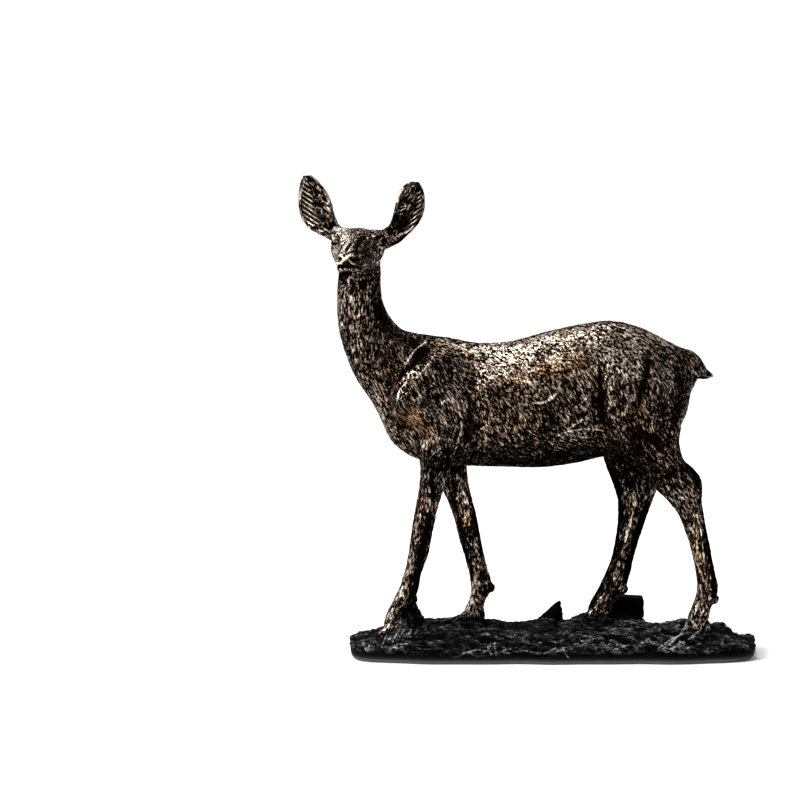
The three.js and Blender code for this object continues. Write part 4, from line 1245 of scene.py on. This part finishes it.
rock = {
    "length": 286,
    "depth": 92,
    "rim": 11,
    "footInset": 3,
    "squareness": 4.5,
    "sections": 190,
    "across": 66,
    "voxel": 0.8,
    "mostTriangles": 180000,
    # x, y, rise, reach along x and y
    "mounds": [
        [-100.5, -13, 22, 8.5, 7.5], [-92, -4, 3, 9, 10], [-112, -16, 2.5, 14, 12], [-84, 12, 3.5, 16, 14],
        [-63, 14, 5.5, 7, 10], [-42, 18, 2.5, 8, 10], [25, 18, 5.5, 13, 14], [48, 18, 3, 14, 14],
        [92, -8, 6, 18, 16], [120, 4, 6, 8, 14], [-84, 36, -2.5, 16, 16], [-30, 34, -3.5, 20, 16],
        [9, 34, -4, 8, 14], [74, 32, -5, 13, 16], [128, 24, -2.5, 14, 22],
    ],
    "smoothBand": 7.5,
    "crinkle": 2.4,
    "seed": 11,
    # smooth places: the shard's x, y and reach along each, the block's x, half length and front
    "calmFrom": 24,
    "calmShard": (-2, 16, 12, 9),
    "calmBlock": (50, 16, 19),
    "block": {
        "x": 51.2,
        "y": 31,
        "halfX": 13.8,
        "halfY": 7.4,
        "bottom": 14,
        "top": 37,
        "turn": 4,
        "chamfer": 0.05,
        "chamferFrom": 36,
        "wave": 0.4,
        "slope": 0.06,
        "slopeFrom": 50,
    },
    "shard": {
        "x": -4,
        "y": 16,
        "reach": 12.5,
        "deep": 0.6,
        "tip": 0.4,
        "lean": 9.6,
        "bottom": 17,
        "rise": 20,
        "cut": 0.95,
    },
    # how far the side is drawn in, and its height, from the rim to the underside
    "sideRows": [(0, 0.85), (0.02, 0.7), (0.1, 0.5), (0.28, 0.3), (0.55, 0.15), (0.85, 0.04), (1, 0)],
    # a painted sheen of light from the floor along the foot of the side: up to this height, growing over this
    # much below it
    "sheenHeight": 5.5,
    "sheenFade": 4.5,
    # in front of this y and above this height the mesh keeps its finest faces
    "fineBefore": 12,
    "fineAbove": 1,
    # the surface: scale of each noise, and tones from the hollows to the crests, whose light greys are
    # painted glints
    "grain": 800,
    "patches": 35,
    "breaks": 420,
    "bump": 0.5,
    "bumpDepth": 0.0005,
    "tones": [
        (0, (0.0008, 0.0008, 0.0008)),
        (0.12, (0.005, 0.005, 0.005)),
        (0.25, (0.025, 0.025, 0.025)),
        (0.4, (0.1, 0.1, 0.1)),
        (0.6, (0.32, 0.32, 0.325)),
    ],
    "threadWidth": 0.85,
    "threadRise": 0.4,
    "wander": 0.8,
    "sunk": 0.1,
    # thin raised threads painted bright as glints: points in the photo's pixels, half width, brightness
    "threads": [
        [[(354.7, 637.6), (360.8, 637)], 0.8, 0.5],
        [[(362, 641), (364, 646), (365.7, 650), (372, 650), (379, 651)], 1.1, 0.9],
        [[(363.5, 644), (367, 649), (370, 645)], 0.8, 0.8],
        [[(374, 632.7), (370, 634), (365.7, 636.3)], 0.8, 0.5],
        [[(383, 635), (379, 642.5), (376.7, 650)], 0.8, 0.6],
        [[(387.7, 634), (382.8, 643.7), (381.6, 649)], 0.9, 0.8],
        [[(392.6, 632.7), (387.7, 642.5), (386.5, 649)], 0.8, 0.6],
        [[(401, 629), (395, 637.6), (392.6, 646), (397.5, 649)], 0.9, 0.8],
        [[(407.2, 627.8), (401, 635), (397.5, 642.5), (396.2, 651)], 0.8, 0.6],
        [[(413.4, 624), (411, 631.5), (404.8, 637.6)], 0.8, 0.6],
        [[(418.2, 626.6), (415.8, 634), (406, 638.8)], 0.8, 0.5],
        [[(425.6, 621.7), (425.6, 631.5)], 0.8, 0.35], [[(431.7, 623), (430.5, 630.2)], 0.7, 0.3],
        [[(386.5, 649), (403.6, 643.7), (420.7, 649), (437.8, 649), (450, 647.3)], 0.9, 0.7],
        [[(391, 644), (400, 640), (409, 642), (417, 639.5)], 0.7, 0.5],
        [[(408.5, 642.5), (423, 646), (434, 641.2), (447.6, 642.5)], 0.8, 0.55],
        [[(447.6, 621.7), (457.4, 616.8), (464.7, 612)], 0.8, 0.5],
        [[(450, 625.3), (462.2, 616.8)], 0.7, 0.4],
        [[(462.2, 635), (477, 637.6), (486.7, 634), (491.6, 637.6)], 0.8, 0.5],
        [[(451.2, 656), (457.4, 657), (467, 652.2), (477, 656), (491.6, 654.7)], 0.9, 0.75],
        [[(440, 654), (447, 652), (453, 653.5)], 0.8, 0.5],
        [[(462.2, 653.5), (477, 649.8), (486.7, 651), (492.8, 641.2), (496.5, 648.6)], 0.9, 0.7],
        [[(487, 646), (492, 656)], 0.9, 0.9], [[(494, 640), (496.5, 656)], 0.9, 0.9],
        [[(499, 656), (511, 652.2), (525.8, 651), (543, 653.5), (555, 648.6)], 0.9, 0.65],
        [[(501, 651), (516, 648.6), (530.7, 652.2)], 0.8, 0.5],
        [[(521, 642.5), (535.6, 643.7), (547.8, 641.2), (560, 643.7)], 0.8, 0.4],
        [[(489, 620.5), (499, 625.3), (496.5, 630)], 0.8, 0.3], [[(506, 631.5), (521, 632.7)], 0.8, 0.25],
        [[(470, 643), (480, 641), (488, 643)], 1.6, 0.28],
        [[(505, 636), (516, 638), (527, 636)], 2.2, 0.15],
        [[(564.6, 625.3), (576.8, 621.7), (586.6, 619.2)], 0.8, 0.35],
        [[(559.7, 643.7), (564, 650), (567, 656), (569.4, 658)], 0.9, 0.9],
        [[(559.7, 648.6), (567, 651), (574, 647), (581.7, 642.5), (589, 643.7)], 0.9, 0.6],
        [[(579, 637.6), (584, 643.7), (591.5, 637.6)], 0.9, 0.6], [[(577, 646), (591.5, 645)], 0.8, 0.45],
        [[(580, 642), (586, 641), (592, 643)], 2.0, 0.35],
        [[(606, 642.5), (616, 640), (625.7, 637.6)], 0.8, 0.5],
        [[(611, 651), (625.7, 646), (640.4, 643.7), (647.7, 640)], 0.9, 0.6],
        [[(601.2, 629), (625.7, 630.2), (642.8, 627.8)], 0.8, 0.3],
        [[(600, 635), (612, 634), (622, 633)], 0.7, 0.3],
        [[(652.6, 653.5), (667.2, 642.5), (682, 634), (689.3, 621.7), (696.6, 612)], 1.0, 0.95],
        [[(660, 651), (674.6, 640), (686.8, 629), (693, 617)], 0.9, 0.8],
        [[(667.2, 651), (682, 643.7), (696.6, 634), (707.6, 625.3)], 1.1, 0.9],
        [[(674, 649), (679, 644), (680, 641)], 1.2, 0.9],
        [[(682, 650), (701.5, 643.7), (711.3, 641.2)], 0.9, 0.5],
        [[(667.2, 631.5), (682, 625.3)], 0.8, 0.4], [[(650, 630), (667, 624), (682, 621.7)], 0.8, 0.4],
        [[(701.5, 635), (716, 635), (730.8, 637.6), (740.6, 638.8)], 0.9, 0.5],
        [[(704, 630), (711, 627)], 0.9, 0.6], [[(716, 626.6), (723.5, 630.2), (730.8, 629)], 0.8, 0.35],
        [[(738, 636.3), (752.8, 638.8)], 1.4, 0.3], [[(721, 646), (735.7, 643.7), (748, 646)], 1.0, 0.25],
        [[(687, 640), (697, 637), (705, 640)], 0.8, 0.5],
    ],
    # strands of rock that run up to the hooves: points x, y, then thickness
    "strands": [
        [[(104, -17), (90, -26), (74, -34), (60, -40)], 1.5],
        [[(100, -14), (86, -22), (70, -29), (56, -33)], 1.2], [[(96, -12), (82, -18), (66, -22)], 1.3],
        [[(110, -20), (98, -30), (84, -38)], 1.3], [[(112, -15), (104, -28), (94, -38)], 1.1],
        [[(118, -10), (122, -22), (116, -36)], 1.2], [[(-106, -18), (-116, -26), (-128, -32)], 1.3],
        [[(-100, -16), (-108, -28), (-120, -38)], 1.5], [[(-96, -14), (-100, -28), (-108, -40)], 1.2],
        [[(-92, -12), (-90, -26), (-96, -38)], 1.2], [[(-84, -8), (-78, -24), (-82, -38)], 1.3],
        [[(-60, 14), (-70, 0), (-80, -16), (-88, -30)], 1.4],
        [[(-50, 14), (-54, -2), (-60, -18), (-62, -34)], 1.3],
        [[(-44, 12), (-40, -8), (-46, -26), (-44, -38)], 1.2],
        [[(28, 14), (20, -2), (10, -20), (2, -36)], 1.4], [[(38, 12), (32, -6), (24, -24), (14, -38)], 1.3],
        [[(46, 12), (44, -10), (36, -30)], 1.2],
    ],
}


# Height of the rock's top over its underside, before its grain.
def rockTop(x, y):
    power = rock["squareness"]
    out = (np.abs(2 * x / rock["length"]) ** power + np.abs(2 * y / rock["depth"]) ** power) ** (1 / power)
    height = rock["rim"] + (ground - rock["rim"]) * smoothstep(1 - out, 0, 0.3)
    height = height + 6 * y * (1 - out) / rock["depth"]
    for atX, atY, rise, reachX, reachY in rock["mounds"]:
        height = height + rise * np.exp(-(((x - atX) / reachX) ** 2) - ((y - atY) / reachY) ** 2)
    return height


def rockSlab():
    u = np.linspace(-1, 1, rock["sections"])
    along = 0.996 * (u * 0.55 + np.sin(u * math.pi / 2) * 0.45) * rock["length"] / 2
    power = rock["squareness"]
    narrowed = (1 - np.abs(2 * along / rock["length"]) ** power) ** (1 / power)
    wave = 1 + 0.02 * np.sin(along / 13 + 1) + 0.015 * np.sin(along / 7 + 2)
    half = rock["depth"] / 2 * narrowed * wave
    drawn = (rock["length"] / 2 - rock["footInset"]) / (rock["length"] / 2)
    share, lift = np.array(rock["sideRows"]).T
    rings = []
    for x, reach in zip(along, half):
        y = reach * 0.95 * np.linspace(-1, 1, rock["across"])
        top = np.stack([np.full(len(y), x), y, rockTop(np.full(len(y), x), y)], 1)
        inwards = reach - rock["footInset"] * share
        side = np.stack([x * (1 + (drawn - 1) * share), inwards, rock["rim"] * lift], 1)
        rings.append(np.vstack([top, side, (side * (1, -1, 1))[::-1]]))
    return closeRings(np.array(rings))


def rockBlock():
    block, sides, levels = rock["block"], 40, 12
    turn = 2 * math.pi * np.arange(sides) / sides + math.radians(block["turn"])
    reach = 1 / np.maximum(np.abs(np.cos(turn)), np.abs(np.sin(turn)))
    rings = []
    for z in np.linspace(block["bottom"], block["top"], levels):
        grow = 1 - block["chamfer"] * (z > block["chamferFrom"])
        x = block["x"] + block["halfX"] * reach * np.cos(turn) * grow + block["wave"] * math.sin(z)
        y = block["y"] + block["halfY"] * reach * np.sin(turn) * grow
        rings.append(np.stack([x, y, np.full(sides, z) - block["slope"] * (x - block["slopeFrom"])], 1))
    return closeRings(np.array(rings))


def rockShard():
    shard, sides, levels = rock["shard"], 16, 10
    turn = 2 * math.pi * np.arange(sides) / sides
    rings = []
    for share in np.linspace(0, shard["cut"], levels):
        reach = shard["reach"] * (1 - share) + shard["tip"]
        x = shard["x"] + reach * np.cos(turn) + share * shard["lean"]
        y = shard["y"] + shard["deep"] * reach * np.sin(turn)
        rings.append(np.stack([x, y, np.full(sides, shard["bottom"] + shard["rise"] * share)], 1))
    return closeRings(np.array(rings))


# Thin layers that fold and break, between about 0 and 1.
def crinkleAt(x, y, z):
    warp = noise.noise_vector(Vector((x / 22, y / 22, z / 14)))
    slant = z + 0.16 * x + 0.1 * y
    layered = Vector((x / 17 + warp.x, y / 13 + warp.y, slant / 4.2 + 1.4 * warp.z))
    coarse = noise.ridged_multi_fractal(layered, 0.9, 2.1, 4, 1.0, 2.0)
    fine = noise.fractal(Vector((x / 3.4, y / 3.4, slant / 1.8)), 0.8, 2.0, 3)
    return coarse * 0.5 + fine * 0.35


def buildRock(finish, tubes):
    lines = []
    for places, size in rock["strands"]:
        flat = smoothLine(places, np.linspace(0, 1, 26))
        wander = rock["wander"] * np.sin(np.linspace(0, 9, len(flat)) + flat[0, 0])
        x, y = flat[:, 0] + wander, flat[:, 1]
        lines.append((np.stack([x, y, rockTop(x, y) - rock["sunk"]], 1), size))
    strands = tubesAlong(tubes, lines, finish)
    shells = [rockSlab(), rockBlock(), rockShard(), strands]
    mesh = modified(meshOf("rock_shells", shells), "REMESH", mode="VOXEL", voxel_size=rock["voxel"])
    points, edges = pointsOf(mesh), edgesOf(mesh)
    points = relax(points, edges, np.full(len(points), 0.5), 2)
    setPoints(mesh, points)
    normals = normalsOf(mesh)
    print("rock: one surface of", len(points), "points")

    noise.seed_set(rock["seed"])  # so that the layers warp the same way in every run
    crest = np.array([crinkleAt(x, y, z) for x, y, z in points])
    low, high = np.percentile(crest, [2, 98])
    crest = np.clip((crest - low) / (high - low), 0, 1)
    edge = smoothstep(points[:, 2], rock["smoothBand"] - 2.5, rock["smoothBand"] + 2.5 * crest)
    flatBelow = smoothstep(points[:, 2], 0.3, 3)
    x, y, z = points.T
    atX, atY, reachX, reachY = rock["calmShard"]
    blockX, halfLength, front = rock["calmBlock"]
    calm = np.exp(-(((x - atX) / reachX) ** 4) - ((y - atY) / reachY) ** 4) * (z > rock["calmFrom"])
    calm = np.maximum(calm, (np.abs(x - blockX) < halfLength) & (y > front) & (z > rock["calmFrom"]))
    move = (crest - 0.6) * rock["crinkle"] * (0.04 + 0.96 * edge) * flatBelow * (1 - 0.75 * calm)
    points = points + normals * move[:, None]
    points[:, 2] = np.maximum(points[:, 2], 0)
    seen = seenAt(points - (0, 0, ground))
    # painted glints along the threads, on the faces that turn towards the side view
    facing = smoothstep(0.14 * normals[:, 2] - normals[:, 1], -0.05, 0.12)
    accent = np.zeros(len(points))
    for places, halfWidth, bright in rock["threads"]:
        near = nearLine(seen, places, rock["threadWidth"] * halfWidth)
        accent = np.maximum(accent, bright * near * facing)
    points = points + normals * (rock["threadRise"] * accent * flatBelow)[:, None]
    points[:, 2] = np.maximum(points[:, 2], 0)
    # the crests' tone, which the finish paints as lighter glints
    keep(mesh, "crest", crest * edge * (1 - 0.6 * calm))
    keep(mesh, "band", 1 - edge)
    # a painted sheen of light from the floor along the foot of the smooth band
    keep(mesh, "foot", (1 - edge) * smoothstep(rock["sheenHeight"] - points[:, 2], 0, rock["sheenFade"]))
    keep(mesh, "accent", accent)
    fine = (points[:, 1] < rock["fineBefore"]) & (points[:, 2] > rock["fineAbove"])
    setPoints(mesh, points * mm)
    mesh = thinned(mesh, rock["mostTriangles"], fine)
    print("rock: crinkled,", len(mesh.polygons), "faces")
    return mesh


def rockFinish():
    finish = Finish("black_rock")
    crest, band = finish.attribute("crest"), finish.attribute("band")
    foot, accent = finish.attribute("foot"), finish.attribute("accent")
    grain = finish.noise(rock["grain"], roughness=0.6).between(0.32, 0.68)
    patches = finish.noise(rock["patches"], detail=2).between(0.4, 0.62)
    broken = finish.noise(rock["breaks"], detail=2).between(0.44, 0.6)
    # painted glints: thin bright threads from noise over the crests, the listed threads and lighter crests
    coarse = finish.threads(90, detail=4, thinness=26)
    thin = finish.threads(170, detail=3, thinness=20)
    threads = (coarse * 0.3 + thin * 0.22) * (patches * 0.6 + 0.4)
    height = (crest - 0.55) * 0.32 + (grain - 0.5) * 0.1 + threads * crest.between(0.1, 0.6)
    # the smooth band evened to a dark grey, a painted sheen of floor light on its foot, and painted glints
    # along the threads
    height = height * (1 - band * 0.75) + band * 0.12 + foot * 0.3 + accent * (broken * 0.42 + 0.26)
    bump = finish.bump(grain * (1 - band), rock["bump"], rock["bumpDepth"])
    sockets = {
        "Base Color": finish.ramp(height.clamped(), rock["tones"]),
        "Roughness": 0.45 + grain * 0.1,
        "Specular IOR Level": 0.01,
        "Normal": bump,
    }
    return finish.shown(finish.add("ShaderNodeBsdfPrincipled", {}, sockets))


# Smooth-shaded piece of the object, in place of a CAD node.
def piece(name, mesh, finish, slot):
    mesh.name = name
    mesh.materials.clear()
    mesh.materials.append(finish)
    mesh.polygons.foreach_set("material_index", np.zeros(len(mesh.polygons), np.int32))
    mesh.polygons.foreach_set("use_smooth", np.ones(len(mesh.polygons), bool))
    made = linked(name, mesh)
    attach(made, "root")
    return made


bronze = bronzeFinish()
blackRock = rockFinish()
tubes = tubeTree("raised_lines")

doe = piece("doe_cast", buildDoe(bronze, tubes), bronze, "bronze")
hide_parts("doe")
rockPiece = piece("rock_slab", buildRock(blackRock, tubes), blackRock, "black_rock")
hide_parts("rock_base")

# floor, light and camera, in metres, degrees and watts
studio = {
    "lens": 400,
    "distance": 6.222,
    "keyHeading": (0.9, 0.55, -0.85),
    "keyPower": 4.6,
    "keyAngle": 28,
    "worldPower": 0.4,
    "aimHeight": 0.17,
    "floorReach": 16,
    "centreRight": -0.10745,
    "centreUp": 0.1855,
    "centreDepth": -0.045,
}


def paleFloor():
    finish = Finish("pale_floor")
    tone = finish.noise(3, detail=2)
    colour = finish.mixed(tone * 0.3, (0.9, 0.9, 0.9, 1), (0.86, 0.86, 0.86, 1))
    shader = finish.add("ShaderNodeBsdfPrincipled", {}, {"Base Color": colour, "Roughness": 0.55})
    mesh = bpy.data.meshes.new("floor")
    far = studio["floorReach"]
    mesh.from_pydata([(-far, -far, 0), (far, -far, 0), (far, far, 0), (-far, far, 0)], [], [(0, 1, 2, 3)])
    mesh.materials.append(finish.shown(shader))
    linked("floor", mesh)


def turnedTo(heading):
    return heading.to_track_quat("-Z", "Y").to_euler()


def softLight(name, place, size, power):
    light = bpy.data.lights.new(name, "AREA")
    light.size = size
    light.energy = power
    lamp = linked(name, light)
    lamp.location = place
    lamp.rotation_euler = turnedTo(Vector((0, 0, studio["aimHeight"])) - Vector(place))


paleFloor()
softLight("top", (-0.2, 0.1, 1.7), 0.8, 20)
softLight("fill", (1.3, -1.0, 0.8), 0.9, 3)

sun = bpy.data.lights.new("key", "SUN")
sun.energy = studio["keyPower"]
sun.angle = math.radians(studio["keyAngle"])
linked("key", sun).rotation_euler = turnedTo(Vector(studio["keyHeading"]))

world = bpy.data.worlds.new("studio")
world.use_nodes = True
world.node_tree.nodes["Background"].inputs["Color"].default_value = (1, 1, 1, 1)
world.node_tree.nodes["Background"].inputs["Strength"].default_value = studio["worldPower"]
bpy.context.scene.world = world
bpy.context.scene.view_settings.view_transform = "Standard"

up = Vector((0, math.sin(lookDown), math.cos(lookDown)))
ahead = Vector((0, math.cos(lookDown), -math.sin(lookDown)))
centre = Vector((studio["centreRight"], studio["centreDepth"], 0)) + up * studio["centreUp"]
camera = linked("camera", bpy.data.cameras.new("camera"))
camera.data.lens = studio["lens"]
camera.location = centre - ahead * studio["distance"]
camera.rotation_euler = (math.radians(90) - lookDown, 0, 0)
bpy.context.scene.camera = camera
